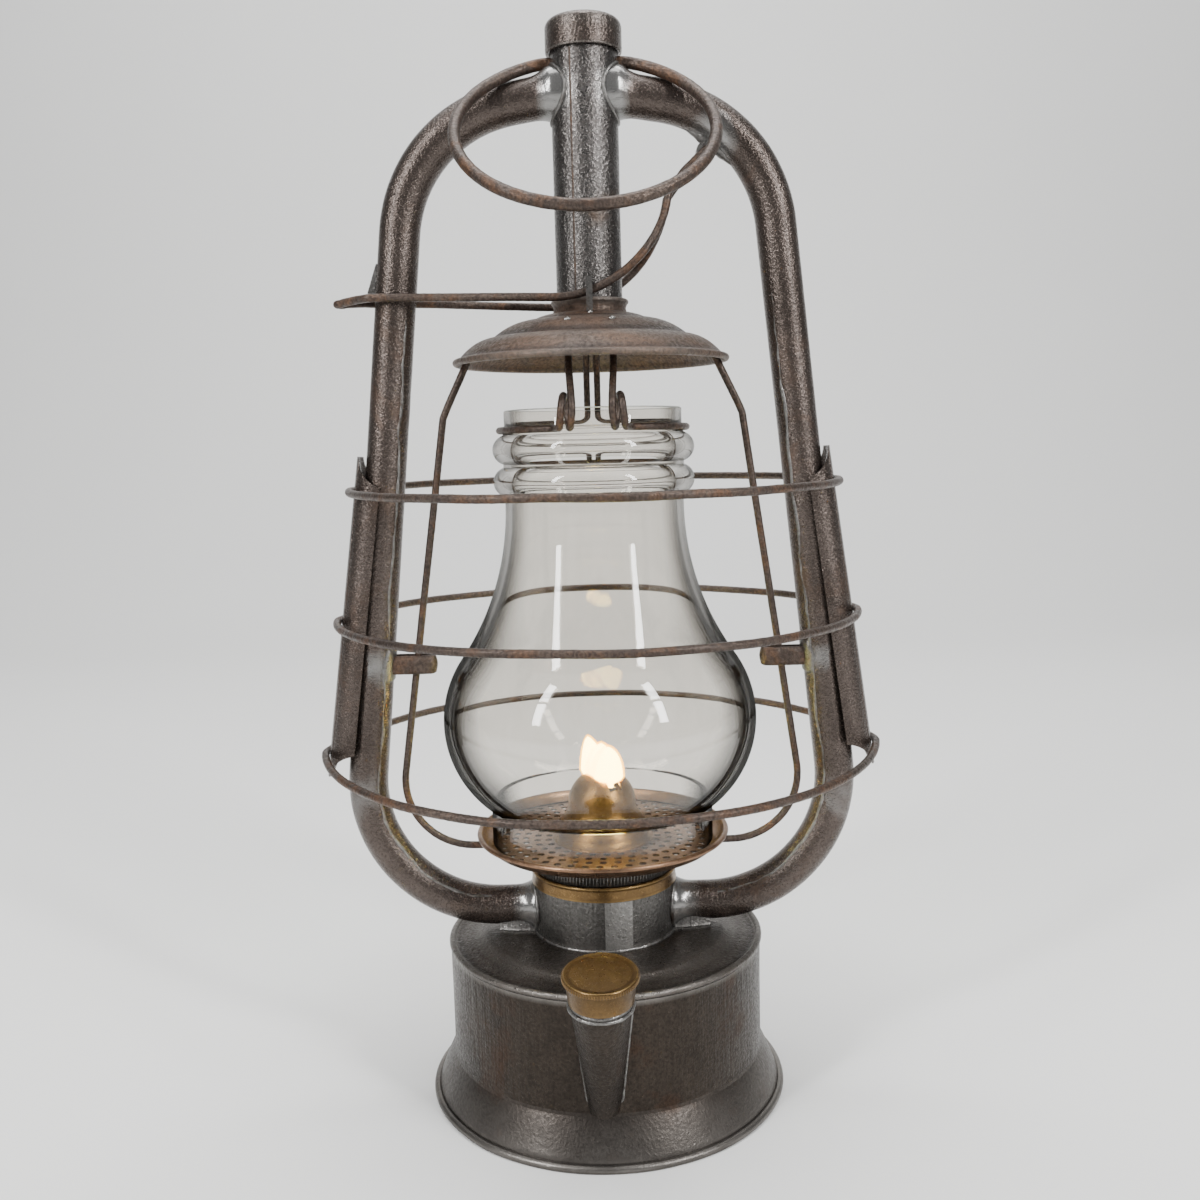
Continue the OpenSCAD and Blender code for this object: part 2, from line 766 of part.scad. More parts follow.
dome_foot_h = 3;
dome_round_z = plate_floor + dome_h - dome_r;
module burner_dome() {
    foot_top = plate_floor + dome_foot_h;
    waist_z = mix(foot_top, dome_round_z, 0.75);
    outer = concat([[dome_foot_r + dome_rim_w, plate_floor],
        [dome_foot_r + dome_rim_w, plate_floor + dome_t],
        [dome_foot_r, plate_floor + dome_t],
        [dome_foot_r, foot_top],
        [dome_r, waist_z]],
        arc(0, dome_round_z, dome_r, 0, 90, 12));
    inner = concat(reversed(arc(0, dome_round_z, dome_r - dome_t, 0, 90, 12)),
        [[dome_r - dome_t, waist_z],
        [dome_foot_r - dome_t, foot_top],
        [dome_foot_r - dome_t, plate_floor]]);
    color(brass)
        difference() {
            rotate_extrude()
                polygon(concat(outer, inner));
            at_burner()
                translate([-slot_len / 2, -slot_w / 2, dome_round_z + dome_r * 0.2])
                    cube([slot_len, slot_w, dome_r]);
        }
}

// Globe plate
plate_hole_r = dome_foot_r - dome_t;
sleeve_r = throat_r - throat_wall - slide_clear;
sleeve_wall = 0.8;
sleeve_depth = 8;
module globe_plate() {
    wall_x = plate_r - 2 * plate_bead_r;
    color(copper)
        difference() {
            union() {
                rotate_extrude()
                    polygon([[plate_hole_r, plate_under], [plate_floor_r, plate_under],
                        [wall_x + plate_t, plate_rim], [wall_x, plate_rim],
                        [plate_floor_r - plate_t / 2, plate_floor], [plate_hole_r, plate_floor]]);
                rotate_extrude()
                    translate([plate_r - plate_bead_r, plate_rim])
                        circle(plate_bead_r, $fn = 32);
            }
            for (row = [0 : hole_rows - 1])
                let (r = row_start + row * row_pitch, count = floor(2 * PI * r / hole_pitch))
                    for (i = [0 : count - 1])
                        rotate([0, 0, 360 * (i + row / 2) / count])
                            translate([r, 0, plate_under - cut])
                                cylinder(h = plate_t + 2 * cut, d = hole_d, $fn = 24);
        }
}

// Sleeve under the globe plate, which seats on the throat's ring
module plate_sleeve() {
    seat = ring_top + 2 * seat_clear;
    low = ring_top - sleeve_depth;
    color(steel)
        difference() {
            union() {
                shell(sleeve_r, sleeve_r - sleeve_wall, low, seat);
                shell(throat_r, sleeve_r - sleeve_wall, seat, plate_under);
            }
            at_burner()
                translate([-throat_r - cut, shaft_y - shaft_d / 2 - slide_clear, low - cut])
                    cube([throat_r + cut, shaft_d + 2 * slide_clear, shaft_z + shaft_d / 2 + slide_clear - low + cut]);
        }
}

// Globe: collar, belly, waist, neck with two ribs
belly_x = globe_belly_r - globe_belly_arc;
waist_a = globe_neck_r - belly_x;
waist_b = globe_neck_z - globe_belly_z;
waist_r = (waist_a * waist_a + waist_b * waist_b - globe_belly_arc * globe_belly_arc)
    / (2 * (globe_belly_arc - waist_a));
waist_turn = atan2(waist_b, waist_a + waist_r);
rib_low_z = globe_neck_z + 8;
rib_top_z = rib_low_z + rib_pitch;

function globe_side(t) = let (low = -acos((globe_collar_r - t - belly_x) / (globe_belly_arc - t)))
    concat(arc(belly_x, globe_belly_z, globe_belly_arc - t, low, waist_turn, 20),
        arc(globe_neck_r + waist_r, globe_neck_z, waist_r + t, 180 + waist_turn, 180, 10));

module globe() {
    outer = concat([[globe_collar_r, 0]], globe_side(0),
        arc(globe_neck_r, rib_low_z, rib_r, -90, 90, 12),
        arc(globe_neck_r, rib_top_z, rib_r, -90, 90, 12),
        [[globe_neck_r - 0.4, rib_top_z + rib_r], [globe_neck_r - 0.4, globe_h]]);
    inner = concat([[globe_collar_r - glass_t, 0]], globe_side(glass_t), [[globe_neck_r - glass_t, globe_h]]);
    color("#c9d2cc", 0.4)
        translate([0, 0, globe_foot])
            rotate_extrude()
                polygon(concat(outer, reversed(inner)));
}

// Hood
collar_r = centre_d / 2 + slide_clear + collar_wall;
hood_steps = [[collar_r, 0], [step_top_r, step_top_drop], [step_low_r, step_top_drop + step_low_drop],
    [hood_r - hood_bead_r, hood_h - hood_bead_r]];
function step_drop(a, b, r) = mix(a.y, b.y, pow((r - a.x) / (b.x - a.x), step_crown));
function hood_top(r) = hood_crown - (r < step_top_r ? step_drop(hood_steps[0], hood_steps[1], r)
    : r < step_low_r ? step_drop(hood_steps[1], hood_steps[2], r)
    : step_drop(hood_steps[2], hood_steps[3], r));
function hood_under(r) = hood_top(r) - hood_t;

module hood() {
    per_step = 6;
    top = [for (k = [0 : 2]) for (i = [0 : per_step - 1])
        let (r = mix(hood_steps[k].x, hood_steps[k + 1].x, i / per_step)) [r, hood_top(r)]];
    edge = [hood_r - hood_bead_r, hood_rim + hood_bead_r];
    side = concat(top, [edge]);
    color(rust) {
        rotate_extrude()
            polygon(concat(side, reversed([for (p = side) [p.x, p.y - hood_t]])));
        rotate_extrude()
            translate([hood_r - hood_bead_r, hood_rim + hood_bead_r])
                circle(hood_bead_r, $fn = 32);
    }
}

module hood_collar() {
    color(rust) {
        shell(collar_r, collar_r - collar_wall, hood_crown - hood_t, collar_top - collar_bead_r);
        rotate_extrude()
            translate([collar_r - collar_wall + collar_bead_r, collar_top - collar_bead_r])
                circle(collar_bead_r, $fn = 32);
    }
}

// Globe clip: one wire on each side, from a rear leg round the neck to a curl and a front leg
clip_ring_r = globe_neck_r - 0.4 + clip_d / 2 + slide_clear;
clip_z = globe_foot + rib_top_z + rib_r + clip_d / 2 + seat_clear;
curl_y = globe_neck_r + curl_r + clip_d / 2 + slide_clear;
curl_x = clip_leg_x + curl_pitch;
curl_steps = 20;
clip_top_z = hood_under(norm([clip_leg_x, clip_leg_y]) + clip_d / 2) - seat_clear;
clip_side = concat(
    [[clip_rear_x, clip_leg_y, clip_top_z],
        [clip_rear_x, clip_leg_y, clip_top_z - 4],
        [clip_rear_x, clip_ring_r - 0.8, globe_top + 4],
        [clip_rear_x, clip_ring_r, clip_z + 5],
        [clip_rear_x + 0.4, clip_ring_r, clip_z + 2]],
    [for (a = [82 : -8 : -62]) [clip_ring_r * cos(a), clip_ring_r * sin(a), clip_z]],
    [[curl_x + 1.6, -clip_ring_r * 0.95, clip_z], [curl_x + 0.3, -curl_y + 2.5, clip_z]],
    [for (i = [0 : curl_steps]) let (a = 450 * i / curl_steps)
        [curl_x - curl_pitch * a / 360, -curl_y - curl_r * sin(a), clip_z + curl_r - curl_r * cos(a)]],
    [[clip_leg_x - 0.8, -curl_y - curl_r + 0.6, clip_z + curl_r + 4],
        [clip_leg_x, -clip_leg_y - 6, clip_top_z - 13],
        [clip_leg_x, -clip_leg_y, clip_top_z - 4],
        [clip_leg_x, -clip_leg_y, clip_top_z]]);
clip_gap = wire_gap(clip_side, clip_d, 5);
echo(str("least gap of the globe clip to itself: ", clip_gap, " mm"));

module globe_clip_right() {
    color(rust)
        swept_wire(clip_side, clip_d, [1, 0.2, 0.1]);
}

module globe_clip_left() {
    left_side()
        globe_clip_right();
}

// Lift wires between the hood's rim and the globe plate
lift_foot = plate_under - lift_wire_d / 2 - seat_clear;
lift_turn = 90 + lift_lean;
lift_knee = [lift_knee_x, hood_rim - lift_knee_drop];
lift_corner = [lift_knee.x + (lift_knee.y - lift_foot) * tan(lift_lean), lift_foot];
lift_tangent = lift_bend_r * tan(lift_turn / 2);
lift_end_x = plate_floor_r - lift_under;
lift_top_x = hood_r - 3 * hood_bead_r - lift_wire_d / 2;
lift_path = concat(
    [[lift_top_x, 0, hood_under(lift_top_x + lift_wire_d / 2) - lift_wire_d / 4 - seat_clear],
        [mix(lift_top_x, lift_knee.x, 0.75), 0, mix(hood_rim, lift_knee.y, 0.7)],
        [lift_knee.x, 0, lift_knee.y]],
    [for (a = [lift_lean : -lift_turn / 8 : -90.1])
        [lift_corner.x - lift_tangent + lift_bend_r * cos(a), 0, lift_foot + lift_bend_r + lift_bend_r * sin(a)]],
    [[lift_end_x, 0, lift_foot]]);

module lift_wire_right() {
    color(rust)
        swept_wire(lift_path, lift_wire_d, [0, 1, 0]);
}

module lift_wire_left() {
    left_side()
        lift_wire_right();
}

// Air tubes
tube_r = tube_d / 2;
tube_low_z = plateau_z + tube_seat + tube_r;
centre_r = centre_d / 2;
lean_tan = tan(tube_lean);
slope_tan = tan(tube_slope);
tube_corner_x = (tube_foot_x - lean_tan * (tube_top_z + slope_tan * centre_r - tube_low_z))
    / (1 - lean_tan * slope_tan);
tube_corner = [tube_corner_x, tube_top_z - slope_tan * (tube_corner_x - centre_r)];
top_turn = 90 - tube_lean - tube_slope;
top_tangent = tube_bend_top * tan(top_turn / 2);
top_start = tube_corner - top_tangent * [cos(tube_slope), -sin(tube_slope)];
top_end = tube_corner + top_tangent * [sin(tube_lean), -cos(tube_lean)];
top_centre = top_start - tube_bend_top * [sin(tube_slope), cos(tube_slope)];
low_turn = 90 + tube_lean;
low_tangent = tube_bend_low * tan(low_turn / 2);
low_start = [tube_foot_x, tube_low_z] + low_tangent * [-sin(tube_lean), cos(tube_lean)];
low_end = [tube_foot_x - low_tangent, tube_low_z];
low_centre = low_end + [0, tube_bend_low];
function tube_x(z) = tube_foot_x - lean_tan * (z - tube_low_z);

module tube_route(r) {
    rod([centre_r / 2, tube_top_z + slope_tan * centre_r / 2], top_start, r);
    bend(top_centre, tube_bend_top, tube_lean, 90 - tube_slope, r);
    rod(top_end, low_start, r);
    bend(low_centre, tube_bend_low, -90, tube_lean, r);
    rod([throat_r / 2, tube_low_z], low_end, r);
}

module right_tube() {
    color(steel)
        difference() {
            tube_route(tube_r);
            tube_route(tube_r - tube_wall);
            translate([0, 0, tube_top_z - tube_d])
                cylinder(h = 2 * tube_d, r = centre_r);
            translate([0, 0, tube_low_z - tube_d])
                cylinder(h = 2 * tube_d, r = throat_r);
        }
}

module left_tube() {
    left_side()
        right_tube();
}

module centre_tube() {
    color(steel)
        difference() {
            shell(centre_r, centre_r - centre_wall, hood_crown - centre_under, centre_top);
            for (side = [-1, 1])
                scale([side, 1, 1])
                    rod([0, tube_top_z + slope_tan * centre_r], [centre_d, tube_top_z - slope_tan * centre_r],
                        tube_r - tube_wall);
            translate([-centre_d, 0, ring_pivot_z])
                rotate([0, 90, 0])
                    cylinder(h = 2 * centre_d, d = ring_d + 2 * pin_clear);
        }
}

module top_cap() {
    inner = centre_r + seat_clear;
    top_round = arc(top_cap_r - top_cap_round, cap_top - top_cap_round, top_cap_round, 0, 90, 6);
    color(steel)
        rotate_extrude()
            polygon(concat([[inner, cap_low], [top_cap_r, cap_low]], top_round,
                [[0, cap_top], [0, centre_top + seat_clear], [inner, centre_top + seat_clear]]));
}

// Carrying ring, drawn level and tilted about its pivot
ring_r = (ring_reach + ring_past) / 2;
ring_centre = ring_reach - ring_r;
elbow_x = sqrt(pow(ring_r - ring_elbow_r, 2) - pow(ring_centre - ring_elbow_r, 2));
elbow_turn = atan2(elbow_x, ring_centre - ring_elbow_r);

module carrying_ring() {
    main_turn = elbow_turn - lap / ring_r * 180 / PI;
    stub_from = centre_r - centre_wall - ring_end;
    color(rust)
        translate([0, 0, ring_pivot_z])
            rotate([ring_hang, 0, 0]) {
                translate([0, -ring_centre, 0])
                    rotate([0, 0, 90 + main_turn])
                        rotate_extrude(angle = 360 - 2 * main_turn)
                            translate([ring_r, 0])
                                circle(d = ring_d - 2 * lap_step, $fn = 48);
                for (side = [0, 1])
                    mirror([side, 0, 0]) {
                        translate([elbow_x, -ring_elbow_r, 0])
                            rotate([0, 0, 90 - elbow_turn])
                                rotate_extrude(angle = elbow_turn)
                                    translate([ring_elbow_r, 0])
                                        circle(d = ring_d, $fn = 48);
                        translate([stub_from, 0, 0])
                            rotate([0, 90, 0])
                                cylinder(h = elbow_x - stub_from + lap, d = ring_d - 2 * lap_step, $fn = 48);
                    }
            }
}

// Lift lever: one wire that runs out along the front, round the nose and back behind
knuckle_reach = tube_bend_top - tube_r - knuckle_r;
lever_pivot = top_centre + knuckle_reach * [cos(knuckle_turn), sin(knuckle_turn)];
lever_low_z = collar_top - 0.4;
bow_z = lever_low_z + lever_bow_r;
eye_y = knuckle_len / 2 + slide_clear + lever_d / 2;
bow_start = -8;
bow_wide = -46;
bow_points = 16;
nose_z = lever_low_z + lever_rise;
straddle_x = tube_x(lever_low_z);
straddle_y = tube_r + lever_d / 2 + 2 * slide_clear;
nose_x = straddle_x + tube_r + lever_nose;
nose_r = lever_d / 2 + slide_clear / 2;
lever_front = concat(
    [[lever_pivot.x, -eye_y, lever_pivot.y],
        [mix(lever_pivot.x, lever_bow_r - lever_bow_x, 0.6), -eye_y - 0.3,
            mix(lever_pivot.y, bow_z + lever_bow_r * sin(bow_start), 0.5)]],
    [for (i = [0 : bow_points]) let (a = mix(bow_start, -90, i / bow_points))
        [lever_bow_r * cos(a) - lever_bow_x,
            -mix(eye_y + 0.6, lever_spread, ease((a - bow_start) / (bow_wide - bow_start))),
            bow_z + lever_bow_r * sin(a)]],
    [for (t = [0.2 : 0.2 : 0.8]) [mix(-lever_bow_x, -straddle_x, t),
        -mix(lever_spread, straddle_y, ease(t)), mix(lever_low_z, nose_z, t)]],
    [[-straddle_x - tube_r * 0.4, -straddle_y, nose_z],
        [-straddle_x - tube_r - 1, -straddle_y + 0.8, nose_z],
        [mix(-straddle_x - tube_r, -nose_x, 0.4), -mix(straddle_y, nose_r, 0.5), nose_z - 0.1],
        [mix(-straddle_x - tube_r, -nose_x, 0.8), -nose_r - 0.5, nose_z - 0.6]],
    [for (a = [0 : 30 : 60]) [-nose_x + nose_r - nose_r * sin(a), -nose_r * cos(a), nose_z - 0.9]]);
lever_path = concat(lever_front, [[-nose_x, 0, nose_z - 0.9]], mirrored(reversed(lever_front)));

module lift_lever() {
    color(rust) {
        swept_wire(lever_path, lever_d, [0, 1, 0]);
        translate([lever_pivot.x, eye_y + lever_d / 2, lever_pivot.y])
            rotate([90, 0, 0])
                cylinder(h = 2 * eye_y + lever_d, d = lever_pin_d);
    }
}

module lever_knuckle() {
    color(tin)
        difference() {
            translate([lever_pivot.x, knuckle_len / 2, lever_pivot.y])
                rotate([90, 0, 0])
                    difference() {
                        union() {
                            cylinder(h = knuckle_len, r = knuckle_r);
                            rotate([0, 0, knuckle_turn])
                                translate([0, -knuckle_r, 0])
                                    cube([knuckle_r + 2, 2 * knuckle_r, knuckle_len]);
                        }
                        translate([0, 0, -cut])
                            cylinder(h = knuckle_len + 2 * cut, d = lever_pin_d + 2 * pin_clear);
                    }
            bend(top_centre, tube_bend_top, tube_lean, 90 - tube_slope, tube_r);
        }
}

// Hooks on the hood, in which the lever's wires lie
hook_room = lever_d / 2 + slide_clear;
hook_wire_z = bow_z - sqrt(lever_bow_r * lever_bow_r - lever_bow_x * lever_bow_x);
hook_top = hook_wire_z + lever_d / 2 + hook_slack;
module front_hook() {
    outer_y = lever_spread + hook_room + hook_t;
    inner_y = lever_spread - hook_room - hook_t;
    foot = hood_top(lever_spread + hook_room) + seat_clear;
    inner_low = collar_top + seat_clear;
    color(tin)
        translate([-hook_w / 2, 0, 0])
            rotate([90, 0, 90])
                linear_extrude(hook_w)
                    polygon([[-outer_y, foot], [-outer_y, hook_top + hook_t], [-inner_y, hook_top + hook_t],
                        [-inner_y, inner_low], [-inner_y - hook_t, inner_low], [-inner_y - hook_t, hook_top],
                        [-outer_y + hook_t, hook_top], [-outer_y + hook_t, foot]]);
}

module rear_hook() {
    mirror([0, 1, 0])
        front_hook();
}

// Catch on the left tube, a ramp above the lever's nose
module lever_catch() {
    low = nose_z + lever_d / 2 + 1;
    base_x = tube_x(low) - tube_r / 2;
    top_x = tube_x(low + catch_len);
    edge = tube_r / cos(tube_lean);
    color(tin)
        left_side()
            difference() {
                translate([0, catch_w / 2, 0])
                    rotate([90, 0, 0])
                        linear_extrude(catch_w)
                            polygon([[base_x, low], [tube_x(low) + edge + catch_out, low],
                                [top_x + edge + 0.2, low + catch_len], [base_x, low + catch_len]]);
                rod(top_end, low_start, tube_r);
                bend(top_centre, tube_bend_top, tube_lean, 90 - tube_slope, tube_r);
            }
}

// Wire guides on the tubes, straps folded round the lift wires
guide_level = globe_foot + guide_z;
guide_wire_x = lift_knee.x + (lift_knee.y - guide_level) * tan(lift_lean);
guide_half = lift_wire_d / 2 + slide_clear;
module right_wire_guide() {
    nose = guide_wire_x - guide_front;
    mouth = guide_wire_x + (lift_travel + guide_h / 2) * tan(lift_lean) + guide_half;
    reach = tube_x(guide_level);
    color(tin)
        difference() {
            translate([0, 0, guide_level - guide_h / 2])
                linear_extrude(guide_h)
                    difference() {
                        union() {
                            translate([nose, 0])
                                circle(guide_half + guide_t, $fn = 48);
                            translate([nose, -guide_half - guide_t])
                                square([reach - nose, 2 * (guide_half + guide_t)]);
                        }
                        translate([nose, 0])
                            circle(guide_half, $fn = 48);
                        translate([nose, -guide_half])
                            square([mouth - nose, 2 * guide_half]);
                    }
            rod(top_end, low_start, tube_r);
        }
}

module left_wire_guide() {
    left_side()
        right_wire_guide();
}

// Guard plates: half pipes outside the tubes, with scooped ends
guard_r = plate_bend_r + guard_t;
guard_top = globe_foot + guard_top_z;
guard_len = (guard_top_z - hoop_z[2] + guard_under) / cos(guard_lean);
guard_low = [guard_top_x + guard_len * sin(guard_lean), guard_top - guard_len * cos(guard_lean)];
function guard_x(z) = guard_top_x + (guard_top - z) * tan(guard_lean);

module right_guard_plate() {
    scoop_x = -guard_flange - 2;
    color(steel)
        translate([guard_low.x - guard_r / cos(guard_lean), 0, guard_low.y])
            rotate([0, -guard_lean, 0])
                difference() {
                    linear_extrude(guard_len)
                        difference() {
                            union() {
                                circle(guard_r);
                                translate([-guard_flange, -guard_r])
                                    square([guard_flange, 2 * guard_r]);
                            }
                            circle(plate_bend_r);
                            translate([-guard_r - guard_flange, -plate_bend_r])
                                square([guard_r + guard_flange, 2 * plate_bend_r]);
                            translate([-2 * guard_r - guard_flange, -2 * guard_r])
                                square([2 * guard_r, 4 * guard_r]);
                        }
                    for (z = [-1, guard_len + 1])
                        translate([scoop_x, guard_r + cut, z])
                            rotate([90, 0, 0])
                                cylinder(h = 2 * guard_r + 2 * cut, r = guard_scoop_r);
                }
}

module left_guard_plate() {
    left_side()
        right_guard_plate();
}

// A guard hoop: an oval of four arcs round both guard plates
module guard_hoop(k) {
    z = globe_foot + hoop_z[k];
    half = guard_x(z) + (hoop_d / 2 + seat_clear) / cos(guard_lean);
    end_x = half - hoop_end_r;
    short = hoop_depth[k] - hoop_end_r;
    set = (end_x * end_x - short * short) / (2 * short);
    end_turn = atan2(set, end_x);
    long_r = hoop_depth[k] + set;
    lap_turn = lap / long_r * 180 / PI;
    color(rust)
        translate([0, 0, z])
            rotate([hoop_tilt[k], 0, 0])
                for (side = [0, 180])
                    rotate([0, 0, side]) {
                        translate([end_x, 0, 0])
                            rotate([0, 0, -end_turn])
                                rotate_extrude(angle = 2 * end_turn)
                                    translate([hoop_end_r, 0])
                                        circle(d = hoop_d, $fn = 48);
                        translate([0, -set, 0])
                            rotate([0, 0, end_turn - lap_turn])
                                rotate_extrude(angle = 180 - 2 * (end_turn - lap_turn))
                                    translate([long_r, 0])
                                        circle(d = hoop_d - 2 * lap_step, $fn = 48);
                    }
}

module guard_hoop_top() {
    guard_hoop(0);
}

module guard_hoop_middle() {
    guard_hoop(1);
}

module guard_hoop_bottom() {
    guard_hoop(2);
}

tank_wall();
tank_floor();
tank_top();
base_skirt();
filler_spout();
filler_neck();
cap_seal();
filler_cap();
throat();
throat_strap();
throat_ring();
burner_body();
wick_tube();
wick();
winder_shaft();
winder_wheels();
winder_knob();
burner_dome();
globe_plate();
plate_sleeve();
globe();
hood();
hood_collar();
front_hook();
rear_hook();
globe_clip_left();
globe_clip_right();
lift_wire_left();
lift_wire_right();
left_wire_guide();
right_wire_guide();
left_tube();
right_tube();
centre_tube();
top_cap();
carrying_ring();
lift_lever();
lever_knuckle();
lever_catch();
left_guard_plate();
right_guard_plate();
guard_hoop_top();
guard_hoop_middle();
guard_hoop_bottom();
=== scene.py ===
from math import acos, atan2, cos, degrees, floor, hypot, pi, radians, sin, sqrt, tan
import bpy
import bmesh
from mathutils import Matrix, Vector, noise


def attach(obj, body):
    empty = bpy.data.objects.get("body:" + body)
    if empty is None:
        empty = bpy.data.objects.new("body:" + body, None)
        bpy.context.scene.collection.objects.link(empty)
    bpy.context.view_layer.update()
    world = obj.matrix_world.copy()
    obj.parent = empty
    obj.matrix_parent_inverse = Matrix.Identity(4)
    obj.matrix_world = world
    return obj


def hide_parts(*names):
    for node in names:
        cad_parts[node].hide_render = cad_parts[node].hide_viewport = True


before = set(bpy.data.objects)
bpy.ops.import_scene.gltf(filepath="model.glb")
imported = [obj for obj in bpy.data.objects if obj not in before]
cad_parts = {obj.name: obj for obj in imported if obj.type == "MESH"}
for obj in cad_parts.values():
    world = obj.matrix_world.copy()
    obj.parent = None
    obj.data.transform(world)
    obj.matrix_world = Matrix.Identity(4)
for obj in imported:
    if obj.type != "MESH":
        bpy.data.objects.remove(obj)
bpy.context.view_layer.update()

mm = 0.001
tau = 2 * pi
print("frame loaded,", len(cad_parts), "nodes")


# node tools: add a node, and set or link its inputs

def feed(tree, node, ins):
    for key, value in ins.items():
        if isinstance(value, bpy.types.NodeSocket):
            tree.links.new(value, node.inputs[key])
        else:
            node.inputs[key].default_value = value


def addNode(tree, kind, ins=None, **props):
    node = tree.nodes.new(kind)
    for key, value in props.items():
        setattr(node, key, value)
    feed(tree, node, ins or {})
    return node


def mathNode(tree, operation, a, b=0.5, clamp=False):
    return addNode(tree, "ShaderNodeMath", {0: a, 1: b}, operation=operation, use_clamp=clamp).outputs[0]


def times(tree, a, b, clamp=False):
    return mathNode(tree, "MULTIPLY", a, b, clamp)


def mixColour(tree, factor, a, b):
    return addNode(tree, "ShaderNodeMix", {0: factor, 6: a, 7: b}, data_type="RGBA").outputs[2]


def mixValue(tree, factor, a, b):
    return addNode(tree, "ShaderNodeMix", {0: factor, 2: a, 3: b}, data_type="FLOAT").outputs[0]


def spread(tree, value, low, high, toLow=0.0, toHigh=1.0):
    ins = {"Value": value, "From Min": low, "From Max": high, "To Min": toLow, "To Max": toHigh}
    return addNode(tree, "ShaderNodeMapRange", ins, clamp=True).outputs[0]


def noiseField(tree, place, scale, detail, rough=0.5, twist=0.0):
    ins = {"Vector": place, "Scale": scale, "Detail": detail, "Roughness": rough, "Distortion": twist}
    return addNode(tree, "ShaderNodeTexNoise", ins).outputs["Fac"]


def heightOf(tree, place):
    return addNode(tree, "ShaderNodeSeparateXYZ", {0: place}).outputs["Z"]


def bumped(tree, height, strength, depth):
    ins = {"Height": height, "Strength": strength, "Distance": depth * mm}
    return addNode(tree, "ShaderNodeBump", ins).outputs[0]


def attribute(tree, name):
    return addNode(tree, "ShaderNodeAttribute", attribute_name=name).outputs["Fac"]


def rgba(colour):
    return (*colour, 1.0)


def newGroup(name, inputs, outputs):
    tree = bpy.data.node_groups.new(name, "ShaderNodeTree")
    for label in inputs:
        kind = "NodeSocketVector" if label == "Vector" else "NodeSocketFloat"
        tree.interface.new_socket(label, in_out="INPUT", socket_type=kind)
    for label in outputs:
        tree.interface.new_socket(label, in_out="OUTPUT", socket_type="NodeSocketFloat")
    return tree, tree.nodes.new("NodeGroupInput").outputs, tree.nodes.new("NodeGroupOutput")


def useGroup(tree, group, place, scale, **more):
    ins = {"Vector": place, "Scale": scale, **more}
    return addNode(tree, "ShaderNodeGroup", ins, node_tree=group).outputs


# the middle span of a noise, where most of its values lie
middle = (0.3, 0.7)

# pebbled, pitted metal skin: sizes as shares of Scale, then the spans that make holes and patches
pitShape = {"cells": 0.8, "patches": 0.12, "hole": (0.12, 0.42, 1.0, 0.0), "patch": (0.42, 0.62)}


def makePittedSkin():
    tree, given, end = newGroup("pittedSkin", ["Vector", "Scale", "Depth"], ["Pits", "Grain", "Height"])
    place, scale = given["Vector"], given["Scale"]
    fine = noiseField(tree, place, scale, 3.0, 0.6)
    cellScale = times(tree, scale, pitShape["cells"])
    cells = addNode(tree, "ShaderNodeTexVoronoi", {"Vector": place, "Scale": cellScale}).outputs["Distance"]
    patches = noiseField(tree, place, times(tree, scale, pitShape["patches"]), 4.0, 0.65)
    pits = times(tree, spread(tree, cells, *pitShape["hole"]), spread(tree, patches, *pitShape["patch"]))
    height = mathNode(tree, "SUBTRACT", fine, times(tree, pits, given["Depth"]))
    feed(tree, end, {"Pits": pits, "Grain": fine, "Height": height})
    return tree


# blotches of rust or tarnish, Amount is the covered share
blotchShape = {"level": 0.78, "cover": 0.5, "edge": 7.0}


def makeBlotches():
    tree, given, end = newGroup("blotches", ["Vector", "Scale", "Amount"], ["Mask", "Cloud"])
    cloud = noiseField(tree, given["Vector"], given["Scale"], 7.0, 0.66, 0.4)
    cover = times(tree, given["Amount"], blotchShape["cover"])
    raised = mathNode(tree, "SUBTRACT", cloud, mathNode(tree, "SUBTRACT", blotchShape["level"], cover))
    mask = mathNode(tree, "MULTIPLY_ADD", raised, blotchShape["edge"], True)
    feed(tree, end, {"Mask": mask, "Cloud": cloud})
    return tree


# upright streaks left by drawing and wiping
def makeStreaks():
    tree, given, end = newGroup("uprightStreaks", ["Vector", "Scale", "Stretch"], ["Streak"])
    squeeze = addNode(tree, "ShaderNodeCombineXYZ", {0: 1.0, 1: 1.0, 2: given["Stretch"]}).outputs[0]
    drawn = addNode(tree, "ShaderNodeVectorMath", {0: given["Vector"], 1: squeeze}, operation="MULTIPLY")
    lines = noiseField(tree, drawn.outputs[0], given["Scale"], 4.0, 0.7)
    feed(tree, end, {"Streak": spread(tree, lines, *middle)})
    return tree


pittedSkin = makePittedSkin()
blotches = makeBlotches()
uprightStreaks = makeStreaks()


def newMaterial(name):
    material = bpy.data.materials.new(name)
    material.use_nodes = True
    tree = material.node_tree
    return material, tree, tree.nodes["Principled BSDF"]


def objectPlace(tree):
    return addNode(tree, "ShaderNodeTexCoord").outputs["Object"]


# what every old metal shares: spans of the masks, and how solder lies on it
metalMix = {"valleys": (0.36, 0.6, 1.0, 0.0), "rub": (0.25, 0.6, 0.25, 1.3), "ragged": (-0.3, 0.3),
    "tin": (0.3, 0.8), "grain": (0.35, 0.65), "rustShare": 0.7, "tinRough": 0.2, "tinSmooth": 0.8,
    "tinHeight": 0.4, "coatRough": 0.25}


